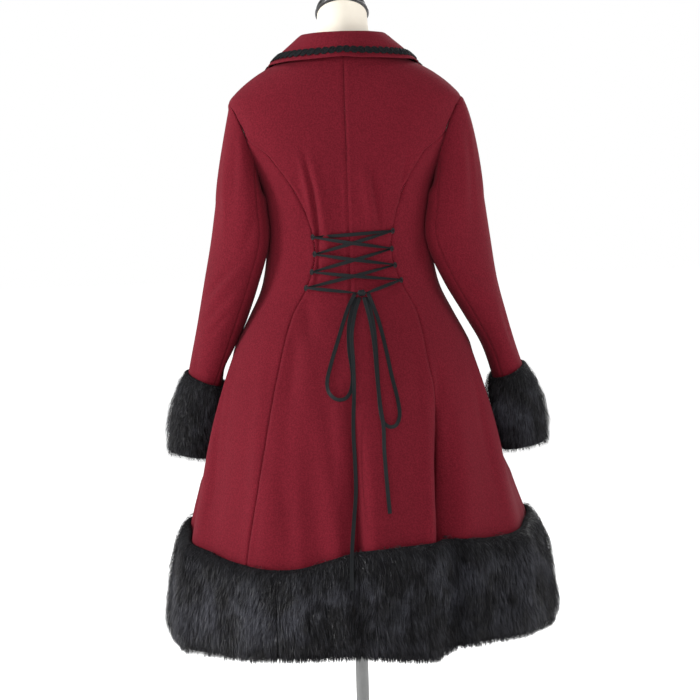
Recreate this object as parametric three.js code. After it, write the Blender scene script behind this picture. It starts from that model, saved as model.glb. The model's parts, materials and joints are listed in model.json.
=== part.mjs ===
// A princess-line wool coat with a fur hem, fur cuffs and a laced back waist, worn by a limbless dress
// form on a round-footed stand. Millimetres, Z up, the floor at 0, the wearer's back towards +Y and the
// wearer's left towards +X.
import * as THREE from 'three';

// Driving sizes

const CLOTH = 2;            // thickness of the wool
const SEAM = 0.35;          // gap between pieces at a seam
const HEM = 462;            // height of the cloth's lower edge
const ARMHOLE = { height: 1235, up: 55, down: 85, spread: 24 };
const SHOULDER_TIP = ARMHOLE.height + ARMHOLE.up;
const ARMPIT = ARMHOLE.height - ARMHOLE.down;
const OVERLAP = 6;          // degrees that the left front passes the centre front
const PROUD = 2.5;          // how far the left front's edge lies outside the right front
const RIBBON = { width: 6, thick: 0.7 };

// The coat's horizontal sections, from the hem to the top of the neck. Half is the half width, back and
// front are the depths from the side seams, and power squares the oval.
const SECTIONS = [
  { z: 440, half: 292, back: 297, front: 266, power: 2.0 },
  { z: 520, half: 283, back: 291, front: 257, power: 2.0 },
  { z: 600, half: 271, back: 279, front: 244, power: 2.05 },
  { z: 700, half: 245, back: 243, front: 218, power: 2.1 },
  { z: 800, half: 222, back: 200, front: 190, power: 2.15 },
  { z: 865, half: 203, back: 168, front: 168, power: 2.2 },
  { z: 910, half: 183, back: 145, front: 148, power: 2.2 },
  { z: 950, half: 162, back: 122, front: 128, power: 2.2 },
  { z: 990, half: 143, back: 104, front: 112, power: 2.2 },
  { z: 1030, half: 134, back: 95, front: 106, power: 2.15 },
  { z: 1070, half: 131, back: 92, front: 108, power: 2.15 },
  { z: 1110, half: 132, back: 93, front: 114, power: 2.2 },
  { z: 1155, half: 139, back: 96, front: 121, power: 2.3 },
  { z: 1200, half: 157, back: 98, front: 122, power: 2.4 },
  { z: 1240, half: 174, back: 97, front: 115, power: 2.4 },
  { z: 1270, half: 182, back: 94, front: 105, power: 2.35 },
  { z: 1290, half: 184, back: 90, front: 97, power: 2.3 },
  { z: 1303, half: 174, back: 88, front: 91, power: 2.25 },
  { z: 1320, half: 155, back: 84, front: 83, power: 2.2 },
  { z: 1337, half: 130, back: 80, front: 75, power: 2.1 },
  { z: 1350, half: 103, back: 77, front: 68, power: 2.05 },
  { z: 1366, half: 77, back: 71, front: 60, power: 2.0 },
  { z: 1385, half: 70, back: 66, front: 55, power: 2.0 },
  { z: 1405, half: 66, back: 62, front: 52, power: 2.0 },
];

// The back princess seams, as distances from the centre back
const PRINCESS = [
  { z: 440, left: 186, right: 132 },
  { z: 600, left: 166, right: 128 },
  { z: 700, left: 147, right: 134 },
  { z: 800, left: 130, right: 131 },
  { z: 880, left: 113, right: 117 },
  { z: 950, left: 93, right: 104 },
  { z: 990, left: 71, right: 85 },
  { z: 1020, left: 59, right: 72 },
  { z: 1060, left: 54, right: 66 },
  { z: 1110, left: 67, right: 76 },
  { z: 1160, left: 92, right: 95 },
  { z: 1204, left: 124, right: 123 },
];

// The front princess seams, as distances from the centre front, the same on both sides
const FRONT_PRINCESS = [
  { z: 440, across: 170 },
  { z: 700, across: 132 },
  { z: 880, across: 100 },
  { z: 990, across: 74 },
  { z: 1060, across: 72 },
  { z: 1150, across: 92 },
  { z: 1204, across: 124 },
];

// Folds of the skirt and back. Angles are measured from the centre back, positive to the wearer's left.
// Out is how far a fold stands out (or in, when negative), wide its half width in degrees.
const FOLDS = [
  { name: 'left ridge', top: 76, foot: 60, out: 11, wide: 11, high: 930, low: 430 },
  { name: 'right ridge', top: -74, foot: -52, out: 9, wide: 13, high: 900, low: 430 },
  { name: 'right princess valley', top: -36, foot: -27, out: -20, wide: 7.5, high: 850, low: 420 },
  { name: 'centre back valley', top: 1.5, foot: 0.5, out: -9, wide: 5.5, high: 860, low: 420 },
  { name: 'centre back ridge', top: -8, foot: -8, out: 5, wide: 6, high: 860, low: 420 },
  { name: 'left back trough', top: 17, foot: 9, out: -6, wide: 7, high: 820, low: 430 },
  { name: 'left princess swell', top: 27, foot: 33, out: 5, wide: 9, high: 900, low: 430 },
  { name: 'left cuff hollow', top: 90, foot: 90, out: -15, wide: 19, high: 900, low: 690 },
  { name: 'right cuff hollow', top: -90, foot: -90, out: -15, wide: 19, high: 900, low: 690 },
  { name: 'left side valley', top: 100, foot: 97, out: -11, wide: 9, high: 760, low: 420 },
  { name: 'right hem swing', top: -84, foot: -80, out: 9, wide: 34, high: 700, low: 400 },
  { name: 'right side valley', top: -101, foot: -98, out: -11, wide: 9, high: 760, low: 420 },
  { name: 'left front fold', top: 132, foot: 128, out: -14, wide: 9, high: 850, low: 420 },
  { name: 'right front fold', top: -130, foot: -126, out: -13, wide: 10, high: 840, low: 420 },
  { name: 'left front swell', top: 150, foot: 150, out: 6, wide: 10, high: 850, low: 420 },
  { name: 'right front swell', top: -151, foot: -148, out: 6, wide: 11, high: 850, low: 420 },
];

// Heights of the rows that the panels share, with those of the armhole worked out from its angles
const ARM_STEPS = [67.5, 45, 22.5, 0];
const armholeHeight = (angle) => ARMHOLE.height
  + (Math.cos(angle) > 0 ? ARMHOLE.up : ARMHOLE.down) * Math.cos(angle);
const SKIRT_ROWS = [HEM, 530, 600, 670, 740, 800, 850, 895, 930, 965, 1000, 1035];
const SIDE_JOIN = 1070;
const BODICE_ROWS = [SIDE_JOIN, 1110, 1150, 1190, 1215, ARMHOLE.height];
const TIP_ROWS = ARM_STEPS.map((step) => armholeHeight(rad(step)));
const SHOULDER_ROWS = [1303, 1320, 1337, 1350];
const SIDE_COLUMNS = 6;

// Sleeve sections: outer and inner are distances from the middle of the coat, middle and deep place and
// size the section from front to back, and twist turns its inner edge towards the back.
const LEFT_SLEEVE = [
  { z: 1130, outer: 211, inner: 128, middle: 12, deep: 56, twist: 8 },
  { z: 1070, outer: 221, inner: 126, middle: 12, deep: 54, twist: 12 },
  { z: 1000, outer: 235, inner: 146, middle: 8, deep: 51, twist: 10 },
  { z: 940, outer: 247, inner: 168, middle: 3, deep: 48, twist: 7 },
  { z: 895, outer: 257, inner: 186, middle: -2, deep: 46, twist: 6 },
  { z: 850, outer: 267, inner: 204, middle: -5, deep: 45, twist: 4 },
  { z: 790, outer: 281, inner: 226, middle: -8, deep: 44, twist: 0 },
  { z: 735, outer: 290, inner: 237, middle: -10, deep: 44, twist: 0 },
];
const RIGHT_SLEEVE = [
  { z: 1130, outer: 218, inner: 124, middle: 8, deep: 54, twist: 8 },
  { z: 1070, outer: 226, inner: 119, middle: 9, deep: 54, twist: 12 },
  { z: 1000, outer: 235, inner: 147, middle: 6, deep: 51, twist: 7 },
  { z: 940, outer: 249, inner: 181, middle: 1, deep: 48, twist: 2 },
  { z: 895, outer: 261, inner: 206, middle: -3, deep: 46, twist: 0 },
  { z: 850, outer: 275, inner: 221, middle: -6, deep: 45, twist: 0 },
  { z: 790, outer: 291, inner: 235, middle: -9, deep: 44, twist: 0 },
  { z: 735, outer: 299, inner: 244, middle: -11, deep: 44, twist: 0 },
];
// How far each sleeve's cap swells out and up as it leaves the armhole
const CAP_SWELL = { left: { out: 10, up: -28 }, right: { out: 54, up: 0 } };
const UNDERARM = { out: 6, up: -26 };   // the same at the foot of both armholes
const CUFF = { top: 856, foot: 724, tilt: 11 };

// Where the lacing loops sit on the two princess seams, as heights
const LOOP_HEIGHTS = { left: [1074, 1047, 1019, 994], right: [1080, 1052, 1026, 1002] };
const KNOT = { x: -17, z: 983, wide: 15, tall: 15, deep: 10, off: 6.7 };

// The bow and its tails, as distances from the middle, heights and how far off the cloth they hang
const BOW_LEFT = [
  { x: -6.9, z: 985, off: 8.2 }, { x: 5, z: 962, off: 5.5 }, { x: 20, z: 919, off: 3 },
  { x: 34, z: 877, off: 3 }, { x: 40, z: 852, off: 3.5 }, { x: 37, z: 836, off: 4 },
  { x: 26, z: 827, off: 5 }, { x: 13, z: 828, off: 6 }, { x: 4, z: 840, off: 6.5 },
  { x: 1, z: 864, off: 6.5 }, { x: 5, z: 901, off: 6 }, { x: 4, z: 938, off: 5 },
  { x: -2, z: 962, off: 4 }, { x: -9, z: 978.5, off: 3.4 },
];
const BOW_RIGHT = [
  { x: -27.3, z: 985, off: 8.2 }, { x: -41, z: 946, off: 5 }, { x: -50, z: 908, off: 3 },
  { x: -59, z: 860, off: 3 }, { x: -67, z: 823, off: 3 }, { x: -69, z: 800, off: 3.5 },
  { x: -63, z: 786, off: 4.5 }, { x: -53, z: 784, off: 5.5 }, { x: -44, z: 792, off: 6 },
  { x: -40, z: 810, off: 6.5 }, { x: -38, z: 850, off: 6.5 }, { x: -36, z: 913, off: 5.5 },
  { x: -33, z: 944, off: 4.5 }, { x: -25.6, z: 978.5, off: 3.4 },
];
const TAIL_LEFT = [
  { x: -14, z: 978.8, off: 6.3 }, { x: -6, z: 956, off: 10.5 }, { x: 0, z: 922, off: 10.5 },
  { x: -1, z: 884, off: 10.5 }, { x: -1, z: 844, off: 10 }, { x: 2, z: 783, off: 5 },
  { x: 1, z: 732, off: 4 }, { x: 1, z: 692, off: 6 }, { x: 5, z: 652, off: 12 },
  { x: 9, z: 615, off: 26 }, { x: 11, z: 580, off: 33 }, { x: 11, z: 551, off: 33 },
];
const TAIL_RIGHT = [
  { x: -20.5, z: 978.8, off: 6.3 }, { x: -29, z: 943, off: 10.5 }, { x: -34, z: 906, off: 10.5 },
  { x: -37, z: 854, off: 10.5 }, { x: -40, z: 817, off: 10.5 }, { x: -44, z: 785, off: 9 },
  { x: -44, z: 751, off: 5 }, { x: -46, z: 706, off: 4 }, { x: -49, z: 658, off: 5 },
];

// The fur hem's edges and its depth of pile from the foot to the top
const FUR_EDGES = [
  { at: -180, top: 606, foot: 447 }, { at: -120, top: 618, foot: 449 }, { at: -90, top: 632, foot: 449 },
  { at: -55, top: 610, foot: 452 }, { at: -32, top: 613, foot: 451 }, { at: -24, top: 612, foot: 437 },
  { at: 0, top: 604, foot: 447 }, { at: 20, top: 580, foot: 444 }, { at: 40, top: 584, foot: 441 },
  { at: 62, top: 602, foot: 440 }, { at: 90, top: 628, foot: 442 }, { at: 120, top: 616, foot: 446 },
  { at: 180, top: 606, foot: 447 },
];
const FUR_OFF = 2;
const FUR_PILE = [
  { up: 0, thick: 10 }, { up: 0.1, thick: 23 }, { up: 0.35, thick: 28 },
  { up: 0.7, thick: 26 }, { up: 0.93, thick: 19 }, { up: 1, thick: 8 },
];

const BUTTONS = { count: 6, high: 1268, low: 838, radius: 12, thick: 4.5 };

// Materials, one look for each kind of thing
const LOOKS = {
  wool: { color: 0x6e1a2a, roughness: 0.92, metalness: 0 },
  fur: { color: 0x151314, roughness: 0.8, metalness: 0 },
  ribbon: { color: 0x1c1f22, roughness: 0.35, metalness: 0 },
  braid: { color: 0x14161c, roughness: 0.6, metalness: 0 },
  button: { color: 0x18161a, roughness: 0.35, metalness: 0 },
  cover: { color: 0xeee2cd, roughness: 0.85, metalness: 0 },
  pewter: { color: 0x3a3b3d, roughness: 0.3, metalness: 0.9 },
  steel: { color: 0x8a8882, roughness: 0.35, metalness: 1 },
};

function rad(degrees) {
  return degrees * Math.PI / 180;
}

function deg(radians) {
  return radians * 180 / Math.PI;
}

const mix = (a, b, t) => a + (b - a) * t;
const smooth = (t) => {
  const c = Math.min(1, Math.max(0, t));
  return c * c * (3 - 2 * c);
};

// A value of a table at a place, on a smooth curve through its rows
function read(table, key, place, value) {
  const rows = table[0][key] <= table[table.length - 1][key] ? table : [...table].reverse();
  const last = rows.length - 1;
  if (place <= rows[0][key]) return rows[0][value];
  if (place >= rows[last][key]) return rows[last][value];
  let i = 0;
  while (rows[i + 1][key] < place) i += 1;
  const slope = (k) => {
    const before = Math.max(k - 1, 0);
    const after = Math.min(k + 1, last);
    return (rows[after][value] - rows[before][value]) / (rows[after][key] - rows[before][key]);
  };
  const span = rows[i + 1][key] - rows[i][key];
  const t = (place - rows[i][key]) / span;
  const t2 = t * t;
  const t3 = t2 * t;
  return (2 * t3 - 3 * t2 + 1) * rows[i][value] + (t3 - 2 * t2 + t) * span * slope(i)
    + (3 * t2 - 2 * t3) * rows[i + 1][value] + (t3 - t2) * span * slope(i + 1);
}

const section = (z) => ({
  half: read(SECTIONS, 'z', z, 'half'),
  back: read(SECTIONS, 'z', z, 'back'),
  front: read(SECTIONS, 'z', z, 'front'),
  power: read(SECTIONS, 'z', z, 'power'),
});

// How far the folds move the cloth in or out at an angle and height
function foldOffset(angle, z) {
  let out = 0;
  for (const fold of FOLDS) {
    const down = (fold.high - z) / (fold.high - fold.low);
    if (down <= 0 || down >= 1.0001) continue;
    const middle = mix(fold.top, fold.foot, down);
    const away = Math.abs(angle - middle) / fold.wide;
    if (away >= 1) continue;
    const local = fold.name.includes('hollow');
    const strength = local ? Math.sin(Math.PI * down) : smooth(down * 2.2);
    out += fold.out * strength * (0.5 + 0.5 * Math.cos(Math.PI * away));
  }
  return out;
}

// A point of the oval through one section
function oval(shape, angle) {
  const s = Math.sin(rad(angle));
  const c = Math.cos(rad(angle));
  const x = shape.half * Math.sign(s) * Math.abs(s) ** (2 / shape.power);
  const deep = c > 0 ? shape.back : shape.front;
  const y = deep * Math.sign(c) * Math.abs(c) ** (2 / shape.power);
  return [x, y];
}

function cloth(angle, z) {
  const [x, y] = oval(section(z), angle);
  const reach = Math.hypot(x, y);
  const grow = 1 + foldOffset(angle, z) / reach;
  return new THREE.Vector3(x * grow, y * grow, z);
}

function clothNormal(angle, z) {
  const across = cloth(angle + 0.6, z).sub(cloth(angle - 0.6, z));
  const up = cloth(angle, z + 1.5).sub(cloth(angle, z - 1.5));
  return up.cross(across).normalize();
}

// The way out from the body where the folds are left aside
function plainNormal(angle, z) {
  const place = (turn, height) => {
    const [x, y] = oval(section(height), turn);
    return new THREE.Vector3(x, y, height);
  };
  const across = place(angle + 2, z).sub(place(angle - 2, z));
  const up = place(angle, z + 6).sub(place(angle, z - 6));
  return up.cross(across).normalize();
}

function offCloth(angle, z, out) {
  return cloth(angle, z).addScaledVector(clothNormal(angle, z), out);
}

// The angle at which the cloth reaches a distance from the middle, on the back half
function angleAcross(x, z) {
  const shape = section(z);
  const share = Math.min(1, Math.abs(x) / shape.half);
  return Math.sign(x) * deg(Math.asin(share ** (shape.power / 2)));
}

// A point moved out until it is clear of the coat's body
function clearOfBody(point, clearance) {
  const shape = section(point.z);
  const deep = point.y > 0 ? shape.back : shape.front;
  const s = Math.sign(point.x) * (Math.abs(point.x) / shape.half) ** (shape.power / 2);
  const c = Math.sign(point.y) * (Math.abs(point.y) / deep) ** (shape.power / 2);
  const angle = deg(Math.atan2(s, c));
  const edge = cloth(angle, point.z);
  const reach = Math.hypot(edge.x, edge.y) + clearance;
  const now = Math.hypot(point.x, point.y);
  if (now >= reach) return point;
  return new THREE.Vector3(point.x * reach / now, point.y * reach / now, point.z);
}

// Closed solid between two grids of points that have the same rows and columns
function shell(outer, inner, ring = false) {
  const rows = outer.length;
  const columns = outer[0].length;
  const points = [...outer.flat(), ...inner.flat()];
  const at = (layer, i, j) => (layer * rows + i) * columns + (j % columns);
  const faces = [];
  const quad = (a, b, c, d) => faces.push(a, b, c, a, c, d);
  const spans = ring ? columns : columns - 1;
  for (let j = 0; j < spans; j += 1) {
    for (let i = 0; i < rows - 1; i += 1) {
      quad(at(0, i, j), at(0, i, j + 1), at(0, i + 1, j + 1), at(0, i + 1, j));
      quad(at(1, i, j), at(1, i + 1, j), at(1, i + 1, j + 1), at(1, i, j + 1));
    }
    quad(at(1, 0, j), at(1, 0, j + 1), at(0, 0, j + 1), at(0, 0, j));
    quad(at(0, rows - 1, j), at(0, rows - 1, j + 1), at(1, rows - 1, j + 1), at(1, rows - 1, j));
  }
  if (!ring) {
    for (let i = 0; i < rows - 1; i += 1) {
      quad(at(0, i, 0), at(0, i + 1, 0), at(1, i + 1, 0), at(1, i, 0));
      const end = columns - 1;
      quad(at(1, i, end), at(1, i + 1, end), at(0, i + 1, end), at(0, i, end));
    }
  }
  return solid(points, faces);
}

// Geometry from points and faces, turned so that it faces outwards
function solid(points, faces) {
  let volume = 0;
  for (let k = 0; k < faces.length; k += 3) {
    const [a, b, c] = [points[faces[k]], points[faces[k + 1]], points[faces[k + 2]]];
    volume += a.dot(b.clone().cross(c));
  }
  const geometry = new THREE.BufferGeometry();
  const order = volume < 0 ? [...faces].reverse() : faces;
  const numbers = points.flatMap((point) => point.toArray());
  geometry.setAttribute('position', new THREE.Float32BufferAttribute(numbers, 3));
  geometry.setIndex(order);
  geometry.computeVertexNormals();
  return geometry;
}

// Normals of a grid of points, from its neighbours
function gridNormals(grid, ring = false) {
  const rows = grid.length;
  const columns = grid[0].length;
  return grid.map((row, i) => row.map((point, j) => {
    const left = ring ? row[(j + columns - 1) % columns] : row[Math.max(j - 1, 0)];
    const right = ring ? row[(j + 1) % columns] : row[Math.min(j + 1, columns - 1)];
    const below = grid[Math.max(i - 1, 0)][j];
    const above = grid[Math.min(i + 1, rows - 1)][j];
    return right.clone().sub(left).cross(above.clone().sub(below)).normalize();
  }));
}

function moved(grid, normals, distance) {
  return grid.map((row, i) => row.map((point, j) => point.clone().addScaledVector(normals[i][j], distance)));
}

// The panels of the body

// Edge angles of the back and front princess seams, carried on round the armhole to the shoulder
function seamAngle(side, z, front) {
  if (z >= SHOULDER_TIP) return 90;
  if (z >= ARMHOLE.height) {
    const rise = (z - ARMHOLE.height) / ARMHOLE.up;
    return 90 - ARMHOLE.spread * Math.sqrt(Math.max(0, 1 - rise * rise));
  }
  const seam = front ? FRONT_PRINCESS : PRINCESS;
  const column = front ? 'across' : side;
  const last = seam[seam.length - 1].z;
  if (z > last) {
    const start = angleAcross(seam[seam.length - 1][column], last);
    return mix(start, 90 - ARMHOLE.spread, (z - last) / (ARMHOLE.height - last));
  }
  return angleAcross(read(seam, 'z', z, column), z);
}

const NECKLINE = [
  { at: 0, z: 1370 }, { at: 50, z: 1368 }, { at: 90, z: 1364 }, { at: 130, z: 1343 },
  { at: 160, z: 1318 }, { at: 180, z: 1308 },
];
const neckline = (angle) => read(NECKLINE, 'at', Math.abs(angle), 'z');

// Degrees that cover a distance along the cloth at a place
function degreesFor(distance, angle, z) {
  return distance / cloth(angle + 0.5, z).distanceTo(cloth(angle - 0.5, z));
}

// Angles of a middle panel's columns at a height, from the centre line to the princess seam, the
// armhole and the shoulder. The fronts overlap, so their first columns stay beside the centre line.
const MIDDLE_COLUMNS = 7;
function middleAngle(side, front, j, z) {
  const edge = seamAngle(side, z, front);
  if (!front) return edge * j / MIDDLE_COLUMNS;
  const beside = [side === 'left' ? -OVERLAP : 1 - OVERLAP, 0, 7, 14];
  return j < 4 ? beside[j] : mix(14, edge, (j - 3) / (MIDDLE_COLUMNS - 3));
}

function middlePanel(side, front) {
  const sign = side === 'left' ? 1 : -1;
  const heights = [...SKIRT_ROWS, ...BODICE_ROWS, ...TIP_ROWS, ...SHOULDER_ROWS];
  const columns = MIDDLE_COLUMNS;
  const grid = [];
  const normals = [];
  for (let i = 0; i <= heights.length; i += 1) {
    const row = [];
    const rowNormals = [];
    for (let j = 0; j <= columns; j += 1) {
      const top = i === heights.length;
      const level = top ? heights[i - 1] : heights[i];
      let local = middleAngle(side, front, j, level);
      if (j === 0 && !front) local += degreesFor(SEAM / 2, 0, level);
      if (j === columns) local -= degreesFor(SEAM / 2, local, level);
      const angle = sign * (front ? 180 - local : local);
      const z = top ? neckline(angle) : Math.min(level, neckline(angle) - 2 * (heights.length - i));
      const lift = front && side === 'left' ? PROUD * smooth((14 - local) / 7) : 0;
      rowNormals.push(clothNormal(angle, z));
      row.push(offCloth(angle, z, lift));
    }
    grid.push(row);
    normals.push(rowNormals);
  }
  return shell(grid, moved(grid, normals, -CLOTH));
}

// Grid of a side panel, from the princess seam to the side seam, its top along the armhole
function sidePanel(side, front) {
  const sign = side === 'left' ? 1 : -1;
  const heights = [...SKIRT_ROWS, ...BODICE_ROWS];
  const grid = heights.map(() => []);
  const normals = heights.map(() => []);
  for (let j = 0; j <= SIDE_COLUMNS; j += 1) {
    const turn = rad(90 + 90 * j / SIDE_COLUMNS);
    const top = armholeHeight(turn);
    const topAngle = 90 - ARMHOLE.spread * Math.sin(turn);
    const topSeam = seamAngle(side, top, front);
    const share = (topAngle - topSeam) / (90 - topSeam);
    heights.forEach((height, i) => {
      const stretch = (top - SIDE_JOIN) / (ARMHOLE.height - SIDE_JOIN);
      const z = height <= SIDE_JOIN ? height : SIDE_JOIN + (height - SIDE_JOIN) * stretch;
      const edge = seamAngle(side, z, front);
      const inset = degreesFor(SEAM / 2, edge, z);
      const nudge = j === 0 ? inset : j === SIDE_COLUMNS ? -inset : 0;
      const local = mix(edge, 90, share) + nudge;
      const angle = sign * (front ? 180 - local : local);
      normals[i].push(clothNormal(angle, z));
      grid[i].push(cloth(angle, z));
    });
  }
  return shell(grid, moved(grid, normals, -CLOTH));
}

// Sleeves and cuffs

// A point of a sleeve section: around runs from the outer side, through the back, to the inner side
function sleeveSection(table, sign, around, z) {
  const outer = read(table, 'z', z, 'outer');
  const inner = read(table, 'z', z, 'inner');
  const deep = read(table, 'z', z, 'deep');
  const twist = rad(read(table, 'z', z, 'twist'));
  const across = Math.cos(rad(around)) * (outer - inner) / 2;
  const along = Math.sin(rad(around)) * deep;
  const x = (outer + inner) / 2 + across * Math.cos(twist) - along * Math.sin(twist);
  const y = read(table, 'z', z, 'middle') + across * -Math.sin(twist) + along * Math.cos(twist);
  return new THREE.Vector3(sign * x, y, z);
}

// A point of the armhole seam
function armholePoint(sign, around) {
  const turn = rad(around);
  const angle = 90 - ARMHOLE.spread * Math.sin(turn);
  const z = armholeHeight(turn);
  const point = cloth(sign * angle, z);
  const middle = new THREE.Vector3(point.x, 0, ARMHOLE.height - 10);
  const inward = middle.sub(point).normalize();
  return point.addScaledVector(inward, SEAM * 1.1).addScaledVector(clothNormal(sign * angle, z), SEAM);
}

const CAP_ROWS = [0, 0.2, 0.45, 0.72, 1];
const ARM_ROWS = [1100, 1060, 1015, 970, 925, 885, 840, 790, 737];
const BICEPS = 1132;

// A sleeve hangs just clear of the body, and further off where the fur cuff comes between them
const sleeveClearance = (z) => mix(1.6, 11, smooth((905 - z) / 45));

// One sleeve point: the cap swings from the armhole to the upper arm, the rest hangs section by section
function sleevePoint(side, around, row) {
  const sign = side === 'left' ? 1 : -1;
  const table = side === 'left' ? LEFT_SLEEVE : RIGHT_SLEEVE;
  if (row >= CAP_ROWS.length) {
    const z = ARM_ROWS[row - CAP_ROWS.length];
    return clearOfBody(sleeveSection(table, sign, around, z), sleeveClearance(z));
  }
  const t = CAP_ROWS[row];
  const start = armholePoint(sign, around);
  const end = sleeveSection(table, sign, around, BICEPS);
  const lean = Math.cos(rad(around));
  const { out, up } = CAP_SWELL[side];
  const top = (1 + lean) / 2;
  const leave = new THREE.Vector3(sign * mix(UNDERARM.out, out, top), 26 * Math.sin(rad(around)),
    mix(UNDERARM.up, up - 18, top));
  const arrive = new THREE.Vector3(0, 0, -70 - 40 * lean);
  const t2 = t * t;
  const t3 = t2 * t;
  const point = start.multiplyScalar(2 * t3 - 3 * t2 + 1).addScaledVector(leave, t3 - 2 * t2 + t)
    .addScaledVector(end, 3 * t2 - 2 * t3).addScaledVector(arrive, t3 - t2);
  return row === 0 ? point : clearOfBody(point, 0.5 + 0.7 * t);
}

const BACK_STEPS = [0, 22.5, 45, 67.5, 90, 105, 120, 135, 150, 165, 180];
const SLEEVE_SEAM = 120;

function sleevePiece(side, upper) {
  const back = BACK_STEPS.filter((step) => (upper ? step <= SLEEVE_SEAM : step >= SLEEVE_SEAM));
  const steps = upper
    ? [...back.slice(1).reverse().map((step) => -step), ...back]
    : [...back, ...back.slice(0, -1).reverse().map((step) => 360 - step)];
  const rows = CAP_ROWS.length + ARM_ROWS.length;
  const inset = 0.2;
  const grid = [];
  for (let i = 0; i < rows; i += 1) {
    grid.push(steps.map((step, j) => {
      const nudge = j === 0 ? inset : j === steps.length - 1 ? -inset : 0;
      return sleevePoint(side, step + nudge, i);
    }));
  }
  const full = sleeveNormals(side);
  const normals = grid.map((row, i) => steps.map((step) => full[i].get(((step % 360) + 360) % 360)));
  return shell(grid, moved(grid, normals, -CLOTH));
}

// Outward normals all round a sleeve, kept by the angle of each column
function sleeveNormals(side) {
  const steps = [...BACK_STEPS, ...BACK_STEPS.slice(1, -1).reverse().map((step) => 360 - step)];
  const rows = CAP_ROWS.length + ARM_ROWS.length;
  const grid = [];
  for (let i = 0; i < rows; i += 1) grid.push(steps.map((step) => sleevePoint(side, step, i)));
  const normals = gridNormals(grid, true);
  const sign = side === 'left' ? -1 : 1;
  return normals.map((row) => new Map(row.map((normal, j) => [steps[j], normal.multiplyScalar(sign)])));
}

const CUFF_PILE = [
  { up: 0, thick: 6 }, { up: 0.12, thick: 16 }, { up: 0.45, thick: 22 },
  { up: 0.8, thick: 19 }, { up: 1, thick: 5 },
];

function furCuff(side) {
  const sign = side === 'left' ? 1 : -1;
  const table = side === 'left' ? LEFT_SLEEVE : RIGHT_SLEEVE;
  const around = [...BACK_STEPS, ...BACK_STEPS.slice(1, -1).reverse().map((step) => 360 - step)];
  const inner = [];
  const outer = [];
  for (const level of [0, 0.12, 0.38, 0.65, 0.88, 1]) {
    const thick = read(CUFF_PILE, 'up', level, 'thick');
    const place = (angle, out) => {
      const slope = CUFF.tilt * Math.cos(rad(angle)) - 6 * Math.sin(rad(angle));
      const lip = 6 * Math.cos(rad(angle)) * (1 - level);
      const z = mix(CUFF.foot, CUFF.top, level) + slope * level + lip;
      const middle = sleeveSection(table, sign, angle, z).add(sleeveSection(table, sign, angle + 180, z))
        .multiplyScalar(0.5);
      const point = clearOfBody(sleeveSection(table, sign, angle, z), sleeveClearance(z));
      const away = point.clone().sub(middle).setZ(0).normalize();
      return clearOfBody(point.addScaledVector(away, out), 2.2);
    };
    inner.push(around.map((angle) => place(angle, 1)));
    outer.push(around.map((angle) => place(angle, thick)));
  }
  return shell(outer, inner, true);
}

// Collar and its braid

const FOLD_LINE = [
  { at: 0, rise: 25, out: 1 }, { at: 90, rise: 26, out: 0 }, { at: 130, rise: 20, out: 3 },
  { at: 168, rise: 10, out: 1 },
];
const COLLAR_EDGE = [
  { at: 0, z: 1351, lift: 12 }, { at: 45, z: 1345, lift: 8 }, { at: 90, z: 1343, lift: 4 },
  { at: 108, z: 1336, lift: 4 }, { at: 130, z: 1294, lift: 8 }, { at: 152, z: 1245, lift: 8 },
  { at: 168, z: 1262, lift: 8 },
];
const COLLAR_END = 167;
const COLLAR_ROWS = 9;

// A point of the collar: down runs from its seam on the neckline, over the fold, to the outer edge
function collarPoint(angle, down) {
  const at = Math.abs(angle);
  const seat = neckline(angle);
  const base = offCloth(angle, seat + mix(1.2, 3.2, smooth((at - 90) / 40)), -CLOTH);
  const rise = read(FOLD_LINE, 'at', at, 'rise');
  const out = read(FOLD_LINE, 'at', at, 'out');
  const ring = cloth(angle, seat);
  const away = ring.clone().setZ(0).normalize();
  const fold = cloth(angle, Math.min(seat + rise, 1400)).setZ(seat + rise).addScaledVector(away, out);
  const edge = offCloth(angle, read(COLLAR_EDGE, 'at', at, 'z'), read(COLLAR_EDGE, 'at', at, 'lift'));
  const stand = fold.clone().addScaledVector(away, -3.2).setZ(fold.z - 4);
  const brow = fold.clone().addScaledVector(away, 3.2).setZ(fold.z - 3);
  const stops = [
    { at: 0, point: base }, { at: 0.24, point: stand }, { at: 0.31, point: fold }, { at: 0.38, point: brow },
    { at: 1, point: edge },
  ];
  let k = 0;
  while (k < stops.length - 2 && stops[k + 1].at < down) k += 1;
  const t = (down - stops[k].at) / (stops[k + 1].at - stops[k].at);
  const point = stops[k].point.clone().lerp(stops[k + 1].point, t);
  if (k === 3) {
    point.addScaledVector(away, 1.5 * Math.sin(Math.PI * t));
    return clearOfBody(point, mix(6, 11, smooth((at - 90) / 30)));
  }
  return point;
}

function collar() {
  const downs = [0, 0.24, 0.31, 0.38, 0.53, 0.69, 0.84, 1];
  const columns = 30;
  const grid = downs.map((down) => Array.from({ length: columns + 1 },
    (_, j) => collarPoint(mix(-COLLAR_END, COLLAR_END, j / columns), down)));
  const normals = gridNormals(grid);
  return shell(grid, moved(grid, normals, -CLOTH));
}

function collarBraid() {
  const waves = 36;
  const columns = waves * 2;
  const band = (out) => [0.885, 0.725].map((down, side) => Array.from({ length: columns + 1 }, (_, j) => {
    const angle = mix(-COLLAR_END + 3, COLLAR_END - 3, j / columns);
    const scallop = (j % 2 ? 0.018 : -0.012) * (side === 0 ? 1 : -1);
    const here = collarPoint(angle, down + scallop);
    const normal = collarPoint(angle + 1, down).sub(collarPoint(angle - 1, down))
      .cross(collarPoint(angle, down + 0.05).sub(collarPoint(angle, down - 0.05))).normalize();
    return here.addScaledVector(normal, out);
  }));
  return shell(band(3.1), band(1.3));
}

// The fur hem

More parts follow.
